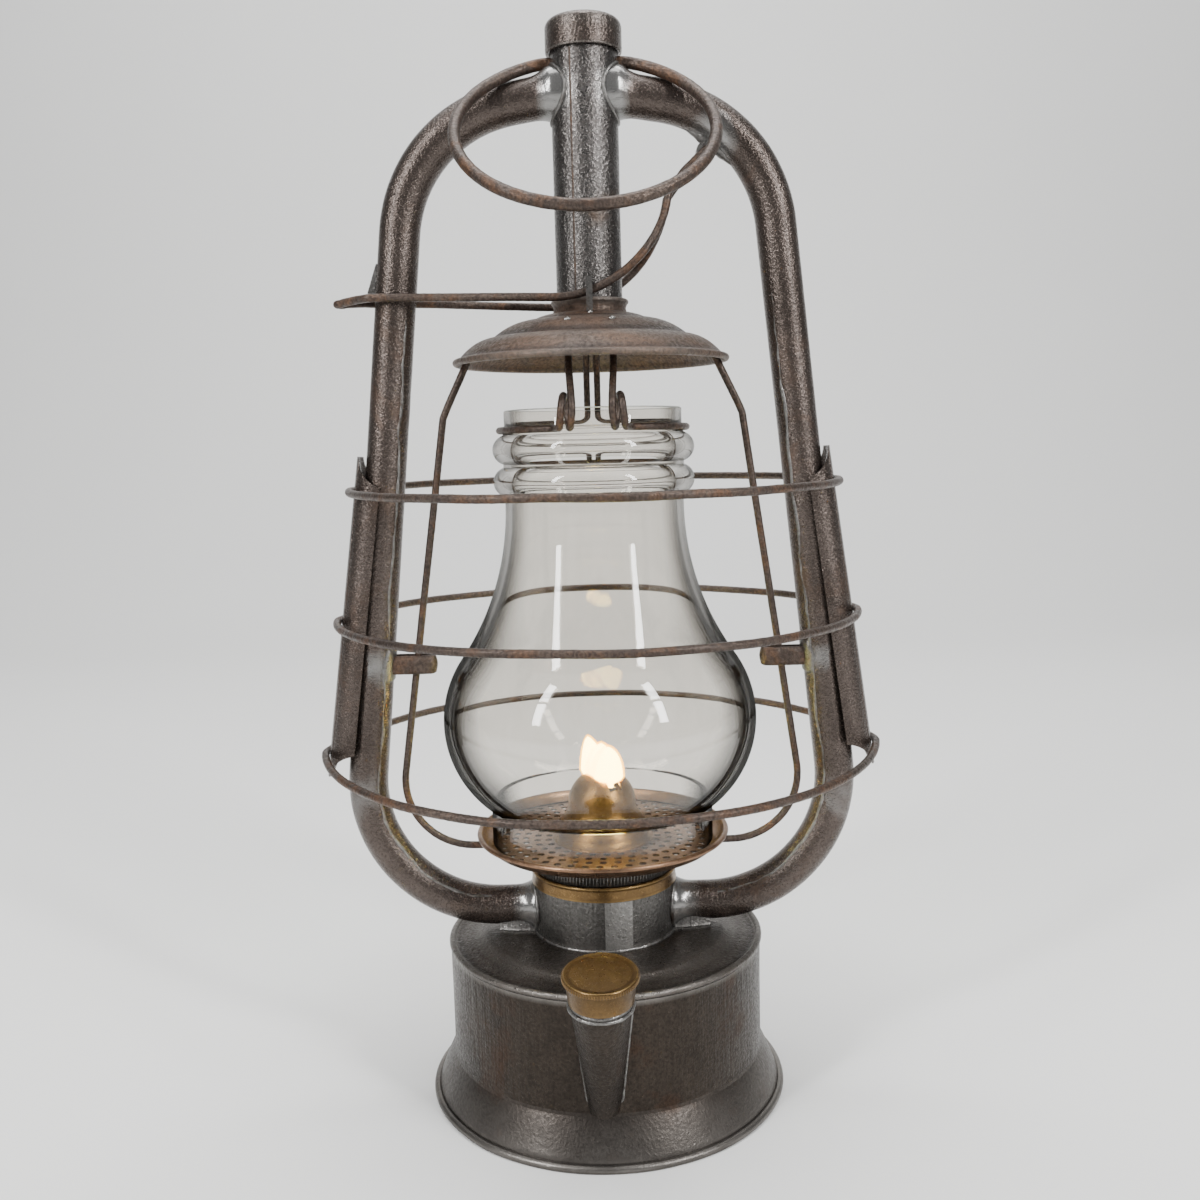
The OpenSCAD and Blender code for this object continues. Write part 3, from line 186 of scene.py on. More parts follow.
# one recipe for every old metal here; wear, painted shade and solder are painted on the pieces as attributes
def oldMetal(name, look, **changes):
    look = {**look, **changes}
    material, tree, shader = newMaterial(name)
    place = objectPlace(tree)
    skin = useGroup(tree, pittedSkin, place, look["pitScale"], Depth=look["pitDepth"])
    bloom = useGroup(tree, blotches, place, look["rustScale"], Amount=look["rustAmount"])
    cloud = useGroup(tree, blotches, place, look["stainScale"])["Cloud"]
    streak = useGroup(tree, uprightStreaks, place, look["streakScale"],
        Stretch=look["streakStretch"])["Streak"]
    dark, pit = rgba(look["dark"]), rgba(look["pit"])
    colour = mixColour(tree, spread(tree, cloud, *middle), dark, rgba(look["base"]))
    colour = mixColour(tree, times(tree, streak, look["streakShare"]), colour, dark)
    colour = mixColour(tree, bloom["Mask"], colour, rgba(look["rust"]))
    valleys = times(tree, spread(tree, skin["Grain"], *metalMix["valleys"]), look["speck"])
    pitted = mathNode(tree, "MAXIMUM", times(tree, skin["Pits"], look["pitShade"]), valleys)
    colour = mixColour(tree, pitted, colour, pit)
    wornAndShaded = attribute(tree, "wearAndShade")
    # painted shade: wear below 0 darkens towards the pit colour, in creases, grooves and under rims
    colour = mixColour(tree, times(tree, wornAndShaded, -1.0, True), colour, pit)
    rub = times(tree, wornAndShaded, spread(tree, cloud, *metalMix["rub"]), True)
    colour = mixColour(tree, rub, colour, rgba(look["bare"]))
    ragged = spread(tree, bloom["Cloud"], *middle, *metalMix["ragged"])
    tin = spread(tree, mathNode(tree, "ADD", attribute(tree, "solder"), ragged), *metalMix["tin"])
    colour = mixColour(tree, tin, colour, rgba(look["solder"]))
    grain = spread(tree, skin["Grain"], *metalMix["grain"])
    rough = mixValue(tree, grain, look["roughHigh"], look["roughLow"])
    rough = mixValue(tree, times(tree, bloom["Mask"], metalMix["rustShare"]), rough, look["rustRough"])
    rough = mixValue(tree, rub, rough, look["roughLow"])
    rough = mixValue(tree, tin, rough, metalMix["tinRough"])
    height = mathNode(tree, "ADD", skin["Height"], times(tree, streak, look["streakBump"]))
    height = mixValue(tree, times(tree, tin, metalMix["tinSmooth"]), height, metalMix["tinHeight"])
    feed(tree, shader, {"Base Color": colour, "Roughness": rough, "Metallic": look["metal"],
        "Coat Weight": look["coat"], "Coat Roughness": metalMix["coatRough"],
        "Normal": bumped(tree, height, look["bump"], look["bumpDepth"])})
    return material


# what most of the sheet metal shares
steelLook = {
    "base": (0.056, 0.044, 0.035), "dark": (0.026, 0.021, 0.017), "rust": (0.05, 0.03, 0.02),
    "pit": (0.01, 0.007, 0.006), "bare": (0.28, 0.266, 0.247), "solder": (0.2, 0.196, 0.19), "metal": 0.92,
    "roughLow": 0.26, "roughHigh": 0.5, "rustRough": 0.58, "pitScale": 900.0, "pitDepth": 0.3,
    "pitShade": 0.4, "speck": 0.4, "rustScale": 38.0, "rustAmount": 0.3, "stainScale": 26.0,
    "streakScale": 520.0, "streakStretch": 0.06, "streakShare": 0.5, "streakBump": 0.6, "bump": 0.8,
    "bumpDepth": 0.3, "coat": 0.03,
}
plainLook = {**steelLook, "streakShare": 0.0, "streakBump": 0.0}
tankSteel = oldMetal("tankSteel", steelLook)
# painted light: a lighter copy of the tank steel for the upturned top
litTankTopSteel = oldMetal("litTankTopSteel", steelLook, base=(0.125, 0.107, 0.094), dark=(0.058, 0.049, 0.042))
# the skirt's own smoother, less streaked finish, on a lighter base that is painted light for its upturned
# flare
litSkirtSteel = oldMetal("litSkirtSteel", steelLook, base=(0.072, 0.061, 0.053), dark=(0.037, 0.031, 0.027),
    bump=0.5, bumpDepth=0.22, streakShare=0.15, streakBump=0.1, roughLow=0.32)
tubeSteel = oldMetal("tubeSteel", plainLook, base=(0.11, 0.087, 0.076), dark=(0.056, 0.043, 0.036),
    rust=(0.09, 0.06, 0.045), pit=(0.016, 0.011, 0.009), pitScale=1100.0, streakShare=0.05,
    rustAmount=0.35, rustRough=0.42, speck=0.45, bump=1.0, metal=0.76, roughLow=0.14,
    roughHigh=0.34, coat=0.05)
centreSteel = oldMetal("centreSteel", plainLook, base=(0.16, 0.15, 0.144), dark=(0.07, 0.063, 0.059),
    rust=(0.09, 0.064, 0.048), pit=(0.022, 0.018, 0.016), pitScale=1000.0, streakShare=0.1,
    speck=0.55, bump=1.0, bumpDepth=0.36, roughLow=0.16, roughHigh=0.4, coat=0.06)
throatSteel = oldMetal("throatSteel", steelLook, base=(0.2, 0.193, 0.183), dark=(0.075, 0.071, 0.066),
    rustAmount=0.1, streakShare=0.35)
hoodRust = oldMetal("hoodRust", plainLook, base=(0.125, 0.087, 0.064), dark=(0.06, 0.041, 0.031),
    rust=(0.11, 0.066, 0.043), rustAmount=0.55, pitScale=800.0, speck=0.55, bump=1.0,
    bumpDepth=0.4, streakShare=0.05, metal=0.6, roughLow=0.34, roughHigh=0.6)
wireRust = oldMetal("wireRust", plainLook, base=(0.1, 0.072, 0.056), dark=(0.044, 0.031, 0.025),
    rust=(0.115, 0.062, 0.036), rustAmount=0.4, rustScale=90.0, pitScale=1000.0, speck=0.6,
    bump=1.0, bumpDepth=0.35, metal=0.65, roughLow=0.28, roughHigh=0.55)
dullTin = oldMetal("dullTin", plainLook, base=(0.26, 0.255, 0.246), dark=(0.1, 0.094, 0.088),
    rustAmount=0.35, rustScale=120.0, pitScale=800.0)
strapTin = oldMetal("strapTin", plainLook, base=(0.31, 0.302, 0.288), dark=(0.17, 0.164, 0.155),
    rustAmount=0.2, rustScale=120.0, pitScale=800.0, speck=0.2, streakShare=0.1, metal=0.75)
solderGrey = oldMetal("solderGrey", plainLook, base=(0.38, 0.372, 0.358), dark=(0.14, 0.133, 0.124),
    rustAmount=0.35, rustScale=160.0, pitScale=500.0, speck=0.2, roughLow=0.18, roughHigh=0.4)
brassLook = {**steelLook, "base": (0.22, 0.133, 0.052), "dark": (0.105, 0.064, 0.028),
    "rust": (0.075, 0.046, 0.023), "rustAmount": 0.36, "rustScale": 60.0, "rustRough": 0.5,
    "pit": (0.03, 0.019, 0.01), "pitScale": 1300.0, "speck": 0.15, "bare": (0.42, 0.28, 0.11),
    "streakShare": 0.1, "streakBump": 0.1, "bump": 0.25, "bumpDepth": 0.2, "roughHigh": 0.42,
    "stainScale": 90.0}
agedBrass = oldMetal("agedBrass", brassLook)
domeBrass = oldMetal("domeBrass", brassLook, base=(0.25, 0.133, 0.034), dark=(0.13, 0.07, 0.02),
    rustAmount=0.25)
agedCopper = oldMetal("agedCopper", brassLook, base=(0.3, 0.175, 0.104), dark=(0.13, 0.077, 0.048),
    rust=(0.09, 0.053, 0.035), bare=(0.45, 0.31, 0.2), rustAmount=0.4)
# soot and painted shade, for the walls of the plate's holes
sootAndShadeCopper = oldMetal("sootAndShadeCopper", brassLook, base=(0.024, 0.016, 0.011), dark=(0.012, 0.008, 0.006),
    rust=(0.03, 0.019, 0.012), metal=0.3, roughLow=0.6, roughHigh=0.85, rustRough=0.8)


# glass: painted shade towards its edges for the dark surroundings seen there, less so at the neck (heights in
# metres), with a wiped film
glassLook = {"tint": (0.912, 0.888, 0.848), "film": (0.8, 0.77, 0.7), "filmShare": 0.4, "wipe": 260.0,
    "wipeStretch": 0.05, "rough": 0.015, "bending": 1.46, "waves": 34.0, "waveBump": 0.12, "waveDepth": 0.6,
    "edge": (0.05, 0.045, 0.036), "edgeSpan": (0.38, 0.76), "neckFade": (0.17, 0.225, 0.95, 0.5),
    "shadow": (0.93, 0.95, 0.94), "ground": (0.78, 0.81, 0.8), "groundSpot": (0.55, 0.57, 0.56),
    "groundScale": 160.0, "groundRough": (0.35, 0.6), "groundClear": 0.6, "groundBending": 1.47}


def makeGlass():
    material, tree, shader = newMaterial("clearGlass")
    place = objectPlace(tree)
    wave = noiseField(tree, place, glassLook["waves"], 1.0)
    wiped = useGroup(tree, uprightStreaks, place, glassLook["wipe"], Stretch=glassLook["wipeStretch"])
    film = times(tree, wiped["Streak"], glassLook["filmShare"])
    feed(tree, shader, {"Base Color": mixColour(tree, film, rgba(glassLook["tint"]), rgba(glassLook["film"])),
        "Roughness": glassLook["rough"], "Transmission Weight": 1.0, "IOR": glassLook["bending"],
        "Normal": bumped(tree, wave, glassLook["waveBump"], glassLook["waveDepth"])})
    # painted shade: the glass turns dark where it faces away, less so at the neck
    facing = addNode(tree, "ShaderNodeLayerWeight", {"Blend": 0.5}).outputs["Facing"]
    share = spread(tree, heightOf(tree, place), *glassLook["neckFade"])
    edge = times(tree, spread(tree, facing, *glassLook["edgeSpan"]), share)
    edgeShade = addNode(tree, "ShaderNodeBsdfTransparent", {"Color": rgba(glassLook["edge"])}).outputs[0]
    clear = addNode(tree, "ShaderNodeBsdfTransparent", {"Color": rgba(glassLook["shadow"])}).outputs[0]
    body = addNode(tree, "ShaderNodeMixShader", {0: edge, 1: shader.outputs[0], 2: edgeShade}).outputs[0]
    rays = addNode(tree, "ShaderNodeLightPath").outputs["Is Shadow Ray"]
    both = addNode(tree, "ShaderNodeMixShader", {0: rays, 1: body, 2: clear}).outputs[0]
    feed(tree, tree.nodes["Material Output"], {"Surface": both})
    return material


def makeGroundEdge():
    material, tree, shader = newMaterial("groundGlassEdge")
    place = objectPlace(tree)
    spots = useGroup(tree, blotches, place, glassLook["groundScale"], Amount=0.5)
    colour = mixColour(tree, spots["Mask"], rgba(glassLook["ground"]), rgba(glassLook["groundSpot"]))
    feed(tree, shader, {"Base Color": colour, "Transmission Weight": glassLook["groundClear"],
        "Roughness": spread(tree, spots["Cloud"], *middle, *glassLook["groundRough"]),
        "IOR": glassLook["groundBending"]})
    return material


# woven cotton, charred at its top (heights in metres)
cottonLook = {"turn": 60, "ribs": 180.0, "rows": 120.0, "low": (0.36, 0.3, 0.2), "high": (0.7, 0.63, 0.48),
    "char": (0.02, 0.015, 0.012), "charSpan": (0.1085, 0.1125), "rough": (0.75, 0.95), "bump": 0.6,
    "depth": 0.3}


def makeWickCotton():
    material, tree, shader = newMaterial("wickCotton")
    place = objectPlace(tree)
    turn = (0, 0, radians(cottonLook["turn"]))
    turned = addNode(tree, "ShaderNodeMapping", {"Vector": place, "Rotation": turn}).outputs[0]
    ribs = addNode(tree, "ShaderNodeTexWave", {"Vector": turned, "Scale": cottonLook["ribs"],
        "Distortion": 1.5, "Detail": 2.0})
    rows = addNode(tree, "ShaderNodeTexWave", {"Vector": turned, "Scale": cottonLook["rows"],
        "Distortion": 1.0}, bands_direction="Z")
    weave = times(tree, ribs.outputs["Fac"], rows.outputs["Fac"])
    char = spread(tree, heightOf(tree, place), *cottonLook["charSpan"])
    cloth = mixColour(tree, weave, rgba(cottonLook["low"]), rgba(cottonLook["high"]))
    feed(tree, shader, {"Base Color": mixColour(tree, char, cloth, rgba(cottonLook["char"])),
        "Roughness": spread(tree, weave, 0, 1, *cottonLook["rough"]),
        "Normal": bumped(tree, weave, cottonLook["bump"], cottonLook["depth"])})
    return material


sealLook = {"cork": (0.1, 0.07, 0.045), "grain": (0.03, 0.02, 0.014), "scale": 700.0, "rough": (0.7, 0.95)}


def makeSealCork():
    material, tree, shader = newMaterial("sealCork")
    place = objectPlace(tree)
    grains = useGroup(tree, blotches, place, sealLook["scale"], Amount=0.4)
    colour = mixColour(tree, grains["Mask"], rgba(sealLook["cork"]), rgba(sealLook["grain"]))
    feed(tree, shader, {"Base Color": colour,
        "Roughness": spread(tree, grains["Cloud"], *middle, *sealLook["rough"])})
    return material


# flame: coloured by its height (in metres), in a thin veil of one colour
flameLook = {"heart": (1.0, 0.97, 0.34), "foot": (0.3, 0.11, 0.012), "span": (0.112, 0.1185),
    "strength": 110.0, "base": (1.0, 0.8, 0.5), "veil": (1.0, 0.5, 0.008), "veilStrength": 3.2,
    "veilAlpha": 0.36}


def makeFlameGlow():
    material, tree, shader = newMaterial("flameGlow")
    place = objectPlace(tree)
    rise = spread(tree, heightOf(tree, place), *flameLook["span"])
    colour = mixColour(tree, rise, rgba(flameLook["foot"]), rgba(flameLook["heart"]))
    feed(tree, shader, {"Base Color": rgba(flameLook["base"]), "Roughness": 1.0, "Emission Color": colour,
        "Emission Strength": flameLook["strength"]})
    return material


def makeFlameVeil():
    material, tree, shader = newMaterial("flameVeil")
    colour = rgba(flameLook["veil"])
    feed(tree, shader, {"Base Color": colour, "Roughness": 1.0, "Emission Color": colour,
        "Emission Strength": flameLook["veilStrength"], "Alpha": flameLook["veilAlpha"]})
    return material


clearGlass = makeGlass()
groundGlassEdge = makeGroundEdge()
wickCotton = makeWickCotton()
sealCork = makeSealCork()
flameGlow = makeFlameGlow()
flameVeil = makeFlameVeil()
print("materials ready,", len(bpy.data.materials))


# mesh tools, all lengths in millimetres

def show(name, data):
    piece = bpy.data.objects.new(name, data)
    bpy.context.scene.collection.objects.link(piece)
    return piece


def paint(mesh, name, values):
    layer = mesh.attributes.get(name) or mesh.attributes.new(name, "FLOAT", "POINT")
    layer.data.foreach_set("value", values)


def shadeSmooth(mesh):
    for face in mesh.polygons:
        face.use_smooth = True


def smoothOff(mesh, sharp=38, outward=True):
    work = bmesh.new()
    work.from_mesh(mesh)
    bmesh.ops.remove_doubles(work, verts=work.verts, dist=2e-6)
    if outward:
        bmesh.ops.recalc_face_normals(work, faces=work.faces)
    work.to_mesh(mesh)
    work.free()
    shadeSmooth(mesh)
    mesh.set_sharp_from_angle(angle=radians(sharp))


def solid(name, verts, faces, sharp, wearAndShade=None):
    mesh = bpy.data.meshes.new(name)
    mesh.from_pydata(verts, [], faces)
    if wearAndShade:
        paint(mesh, "wearAndShade", wearAndShade)
    smoothOff(mesh, sharp)
    return show(name, mesh)


def settle(piece, body, nodes=(), material=None):
    if material:
        piece.data.materials.clear()
        piece.data.materials.append(material)
    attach(piece, body)
    if nodes:
        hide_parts(*nodes)
    return piece


def limited(value):
    return min(1.0, max(0.0, value))


def arcPoints(x, z, radius, startAngle, endAngle, count):
    turns = [radians(startAngle + (endAngle - startAngle) * i / count) for i in range(count + 1)]
    return [(x + radius * cos(a), z + radius * sin(a)) for a in turns]


def circle(radius, height, count):
    turns = [tau * i / count for i in range(count)]
    return [Vector((radius * cos(a), radius * sin(a), height)) for a in turns]


def mirrored(points):
    return [(-p[0], *p[1:]) for p in points]


# rounds the corners of a profile; each point is radius, height and how worn it is, below 0 painted shade
def eased(points, size, closed=True, steps=4, most=0.45):
    out = []
    count = len(points)
    full = [tuple(p) + (0.0,) * (3 - len(p)) for p in points]
    for i, point in enumerate(full):
        if not closed and i in (0, count - 1):
            out.append(point)
            continue
        here = Vector(point[:2])
        before = Vector(full[i - 1][:2]) - here
        after = Vector(full[(i + 1) % count][:2]) - here
        start = here + before.normalized() * min(size, before.length * most)
        stop = here + after.normalized() * min(size, after.length * most)
        for k in range(steps + 1):
            t = k / steps
            spot = start * (1 - t) ** 2 + here * 2 * t * (1 - t) + stop * t * t
            out.append((spot.x, spot.y, point[2]))
    return out


def lathe(name, profile, steps=144, closed=True, sharp=38, dents=0.0, dentScale=0.045, place=None):
    verts, rings, wearAndShade = [], [], []
    for radius, height, *wornAndShaded in profile:
        spots = circle(radius, height, steps)[:1 if radius < 1e-3 else steps]
        rings.append(range(len(verts), len(verts) + len(spots)))
        for spot in spots:
            if dents and len(spots) > 1:
                spot += Vector((spot.x, spot.y, 0)).normalized() * dents * noise.noise(spot * dentScale)
            verts.append((place @ spot if place else spot) * mm)
            wearAndShade.append(wornAndShaded[0] if wornAndShaded else 0.0)
    pairs = list(zip(rings, rings[1:]))
    if closed:
        pairs.append((rings[-1], rings[0]))
    faces = []
    for low, high in pairs:
        for i in range(steps):
            j = (i + 1) % steps
            loop = [low[i % len(low)], low[j % len(low)], high[j % len(high)], high[i % len(high)]]
            loop = list(dict.fromkeys(loop))
            if len(loop) > 2:
                faces.append(loop)
    return solid(name, verts, faces, sharp, wearAndShade)


# a turned piece that takes the place of a node
def latheNode(node, name, body, slotName, material, profile, steps=144, **more):
    return settle(lathe(name, profile, steps, **more), body, [node], material)


# closed skins in one mesh; each skin is a row of rings with equally many points
def skinned(name, skins, sharp):
    verts, faces = [], []
    for rings in skins:
        first, count = len(verts), len(rings[0])
        rows = [range(first + i * count, first + (i + 1) * count) for i in range(len(rings))]
        verts += [Vector(point) * mm for ring in rings for point in ring]
        for a, b in zip(rows, rows[1:]):
            for k in range(count):
                n = (k + 1) % count
                faces.append((a[k], a[n], b[n], b[k]))
        faces += [tuple(reversed(rows[0])), tuple(rows[-1])]
    return solid(name, verts, faces, sharp)


# Geometry Nodes trees: named sizes and a material in, a shape out
def newShape(name, sizes):
    tree = bpy.data.node_groups.new(name, "GeometryNodeTree")
    face = tree.interface
    face.new_socket("Start", in_out="INPUT", socket_type="NodeSocketGeometry")
    ids = {}
    for label, kind in {**sizes, "Material": "Material"}.items():
        ids[label] = face.new_socket(label, in_out="INPUT", socket_type="NodeSocket" + kind).identifier
    face.new_socket("Shape", in_out="OUTPUT", socket_type="NodeSocketGeometry")
    return tree, ids, tree.nodes.new("NodeGroupInput").outputs


def endShape(tree, shape, material):
    real = addNode(tree, "GeometryNodeRealizeInstances", {0: shape})
    dressed = addNode(tree, "GeometryNodeSetMaterial", {"Geometry": real.outputs[0], "Material": material})
    feed(tree, tree.nodes.new("NodeGroupOutput"), {0: dressed.outputs[0]})


def curveCircle(tree, sides, radius):
    ins = {"Resolution": sides, "Radius": radius}
    return addNode(tree, "GeometryNodeCurvePrimitiveCircle", ins).outputs[0]


def onPoints(tree, points, shape):
    return addNode(tree, "GeometryNodeInstanceOnPoints", {"Points": points, "Instance": shape}).outputs[0]


# a wire, tube or bead along a path
def makeWireShape():
    tree, ids, given = newShape("wireAlongPath", {"Radius": "Float", "Sides": "Int", "Spacing": "Float"})
    path = addNode(tree, "GeometryNodeMeshToCurve", {"Mesh": given["Start"]})
    even = addNode(tree, "GeometryNodeResampleCurve", {"Curve": path.outputs[0], "Length": given["Spacing"]},
        mode="LENGTH")
    girth = addNode(tree, "GeometryNodeInputNamedAttribute", {"Name": "girth"}, data_type="FLOAT")
    swept = addNode(tree, "GeometryNodeCurveToMesh", {"Curve": even.outputs[0], "Scale": girth.outputs[0],
        "Profile Curve": curveCircle(tree, given["Sides"], given["Radius"]), "Fill Caps": True})
    endShape(tree, swept.outputs[0], given["Material"])
    return tree, ids


# the same small lip on many points, for the rims of holes
def makeRimShape():
    tree, ids, given = newShape("rimsOnHoles", {"Hole Radius": "Float", "Lip": "Float"})
    rim = addNode(tree, "GeometryNodeCurveToMesh", {"Curve": curveCircle(tree, 12, given["Hole Radius"]),
        "Profile Curve": curveCircle(tree, 5, given["Lip"])})
    endShape(tree, onPoints(tree, given["Start"], rim.outputs[0]), given["Material"])
    return tree, ids


# a ring of upright ridges, for knurled edges
def makeKnurlShape():
    tree, ids, given = newShape("knurledEdge", {"Count": "Int", "Radius": "Float", "Ridge": "Float",
        "Height": "Float"})
    spots = addNode(tree, "GeometryNodeMeshCircle", {"Vertices": given["Count"], "Radius": given["Radius"]})
    ridge = addNode(tree, "GeometryNodeMeshCylinder", {"Vertices": 8, "Radius": given["Ridge"],
        "Depth": given["Height"]})
    endShape(tree, onPoints(tree, spots.outputs[0], ridge.outputs[0]), given["Material"])
    return tree, ids


wireShape = makeWireShape()
rimShape = makeRimShape()
knurlShape = makeKnurlShape()


# runs a tree on a mesh and keeps the result as a plain mesh
def growMesh(name, start, shape, values):
    tree, ids = shape
    piece = show(name, start)
    modifier = piece.modifiers.new("shape", "NODES")
    modifier.node_group = tree
    for label, value in values.items():
        modifier[ids[label]] = value
    graph = bpy.context.evaluated_depsgraph_get()
    mesh = bpy.data.meshes.new_from_object(piece.evaluated_get(graph))
    piece.modifiers.clear()
    piece.data = mesh
    bpy.data.meshes.remove(start)
    return piece


def pathMesh(name, points, closed, girth):
    mesh = bpy.data.meshes.new(name + "_path")
    edges = [(i, i + 1) for i in range(len(points) - 1)]
    if closed:
        edges.append((len(points) - 1, 0))
    mesh.from_pydata([Vector(p) * mm for p in points], edges, [])
    paint(mesh, "girth", girth or [1.0] * len(points))
    return mesh


# uneven skin: every point goes inwards by up to depth
def roughen(mesh, depth, scale):
    normals = [v.normal.copy() for v in mesh.vertices]
    for vertex, normal in zip(mesh.vertices, normals):
        share = 0.5 + 0.5 * noise.noise(vertex.co / mm * scale)
        vertex.co -= normal * depth * mm * limited(share)


def wire(name, points, radius, material, closed=False, sides=16, spacing=0.8, girth=None, rough=0.0,
        grain=0.8):
    values = {"Radius": radius * mm, "Sides": sides, "Spacing": spacing * mm, "Material": material}
    piece = growMesh(name, pathMesh(name, points, closed, girth), wireShape, values)
    if rough:
        roughen(piece.data, rough, grain)
    smoothOff(piece.data, 60)
    return piece


# a rusty wire that takes the place of a node
def wireNode(node, name, body, points, radius, **more):
    settle(wire(name, points, radius, wireRust, **more), body, [node])


def lumpy(points, low, high, scale=0.35):
    return [low + (high - low) * (0.5 + 0.5 * noise.noise(Vector(p) * scale)) for p in points]


# a bead of solder that swells and thins between two shares of its radius
def solderBead(name, points, material, radius, low, high, closed=True, sides=10, spacing=0.7):
    return wire(name, points, radius, material, closed, sides, spacing, lumpy(points, low, high))


def joined(name, parts):
    work = bmesh.new()
    material = parts[0].data.materials[0]
    for part in parts:
        work.from_mesh(part.data)
    mesh = bpy.data.meshes.new(name)
    work.to_mesh(mesh)
    work.free()
    for part in parts:
        old = part.data
        bpy.data.objects.remove(part)
        bpy.data.meshes.remove(old)
    for face in mesh.polygons:
        face.use_smooth = True
        face.material_index = 0
    mesh.materials.append(material)
    return show(name, mesh)


# a smooth curve through a few points
def curved(points, per=8):
    pts = [Vector(p) for p in points]
    out = []
    for i in range(len(pts) - 1):
        b, c = pts[i], pts[i + 1]
        a = pts[i - 1] if i else b * 2 - c
        d = pts[i + 2] if i + 2 < len(pts) else c * 2 - b
        for k in range(per):
            t = k / per
            out.append((b * 2 + (c - a) * t + (a * 2 - b * 5 + c * 4 - d) * t * t
                + (b * 3 - a - c * 3 + d) * t * t * t) * 0.5)
    out.append(pts[-1])
    return out


# a copy of a node's mesh, merged and smoothed, with a better finish
def dressNode(node, body, material, sharp=32):
    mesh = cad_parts[node].data.copy()
    mesh.name = node + "_dressed"
    smoothOff(mesh, sharp, outward=False)
    return settle(show(node + "_dressed", mesh), body, [node], material)


print("tools ready")


# tank and base; the lines of the top are radius, drop below the plateau and wear: bare above 0, on the
# plateau's raised edge worn and also painted light, and below 0 painted shade, in the groove by the rolled
# seam
tank = {"radius": 58.0, "sheet": 1.0, "floor": 6.0, "wallTop": 56.2, "wallRows": 24, "plateau": 59.6,
    "topLine": ((12.15, 0, 0), (27.5, 0, 0), (36.0, 0, 0.1), (44.4, 0, 0.22), (46.8, 1.5, 0.2),
        (51.0, 2.05, 0.05), (55.0, 2.45, -0.4)), "topEase": 1.6, "steps": 192,
    "underLine": ((54.0, 3.5), (46.0, 2.2), (44.0, 1.0), (12.15, 1.0)), "seamCentre": 57.4, "seamRadius": 1.2,
    "skirtTop": 17.0, "skirtFlare": 5.9, "skirtBend": 1.15, "skirtThin": 1.25, "skirtRows": 16,
    "skirtWear": 0.24, "footBead": 1.5, "footCentre": 64.9, "footZ": 1.2, "footCut": 1.4, "dents": 0.22}


def makeTank():
    outer, floor, top, foot = tank["radius"], tank["floor"], tank["wallTop"], tank["footZ"]
    inner, rows = outer - tank["sheet"], tank["wallRows"]
    wall = [(inner, floor)] + [(outer, floor + (top - floor) * i / rows) for i in range(rows)]
    wall += [(outer, top, 0.4), (inner, top)]
    seam = tank["seamCentre"]
    upper = eased([(r, tank["plateau"] - drop, wearAndShade) for r, drop, wearAndShade in tank["topLine"]], tank["topEase"],
        closed=False)
    rolled = arcPoints(seam, seam, tank["seamRadius"], 165, -80, 14)
    upper += [(x, z, 0.3 if z > seam else 0.1) for x, z in rolled]
    under = [(inner, top)] + [(r, tank["plateau"] - drop) for r, drop in tank["underLine"]]
    outside, inside = [], []
    for i in range(tank["skirtRows"] + 1):
        u = i / tank["skirtRows"]
        r = outer + tank["skirtFlare"] * (1 - u) ** tank["skirtBend"]
        z = foot + (tank["skirtTop"] - foot) * u
        outside.append((r + tank["sheet"] * (1 - tank["skirtThin"] * u ** 3), z, tank["skirtWear"] * (1 - u)))
        inside.append((r, z))
    bead = reversed(arcPoints(tank["footCentre"], foot, tank["footBead"], 250, -52, 16))
    cut = tank["footCentre"] - tank["footCut"]
    bead = [(x, max(0.0, z), 0.4 if z > foot else 0.2) for x, z in bead if x > cut]
    skirt = inside[::-1][:-1] + bead + outside[2:]
    for node, profile, material in (("tank_wall", wall, tankSteel), ("tank_top", upper + under, litTankTopSteel),
            ("base_skirt", skirt, litSkirtSteel)):
        latheNode(node, node + "_sheet", "frame", "aged_steel", material, profile, tank["steps"],
            dents=tank["dents"])
    dressNode("tank_floor", "frame", tankSteel)


makeTank()
print("tank made")


# filler: spout, neck, seal and cap; spout ends are distance from the middle, height and radius
# a bead of solder, here and below, is its radius and the least and most share of it
filler = {"origin": (-1.72933, -70.7599, 62.5), "axis": (-0.00318904, -0.13048723, 0.99144486), "turn": 1.4,
    "capRim": 12.6, "knurls": 84, "knurlRidge": 0.3, "knurlTall": 1.35, "knurlZ": 9.85,
    "capInside": ((0, 9.72), (9.35, 9.72), (9.35, 1.4), (10.7, 1.35, 0.1), (10.95, 3.6, -0.25),
        (11.5, 8.7, -0.55), (12.0, 8.92, -0.4)),
    "capTop": ((11.3, 10.8, 0.1), (10.4, 10.62, -0.2), (9.6, 10.6, 0.08), (0, 10.55, 0.12)),
    "spoutLow": (61.2, 21.0, 5.2), "spoutTop": (70.78, 62.5, 10.2), "seamTop": 58.6, "seamLow": 22.0,
    "seamToe": 1.6, "seamOut": 1.03, "seamGap": 0.5, "seam": (0.55, 0.5, 1.4),
    "neckRing": (10.35, -0.55), "neckBead": (0.75, 0.6, 1.25), "webTop": 61.4,
    "webHalf": 0.93, "webSink": 0.3, "webLeast": 0.02}
spoutTurn = Matrix.Rotation(radians(-filler["turn"]), 3, "Z")


def fillerPlace():
    up = Vector(filler["axis"]).normalized()
    across = (Vector((1, 0, 0)) - up * up.x).normalized()
    place = Matrix((across, up.cross(across), up)).transposed().to_4x4()
    return Matrix.Translation(filler["origin"]) @ place


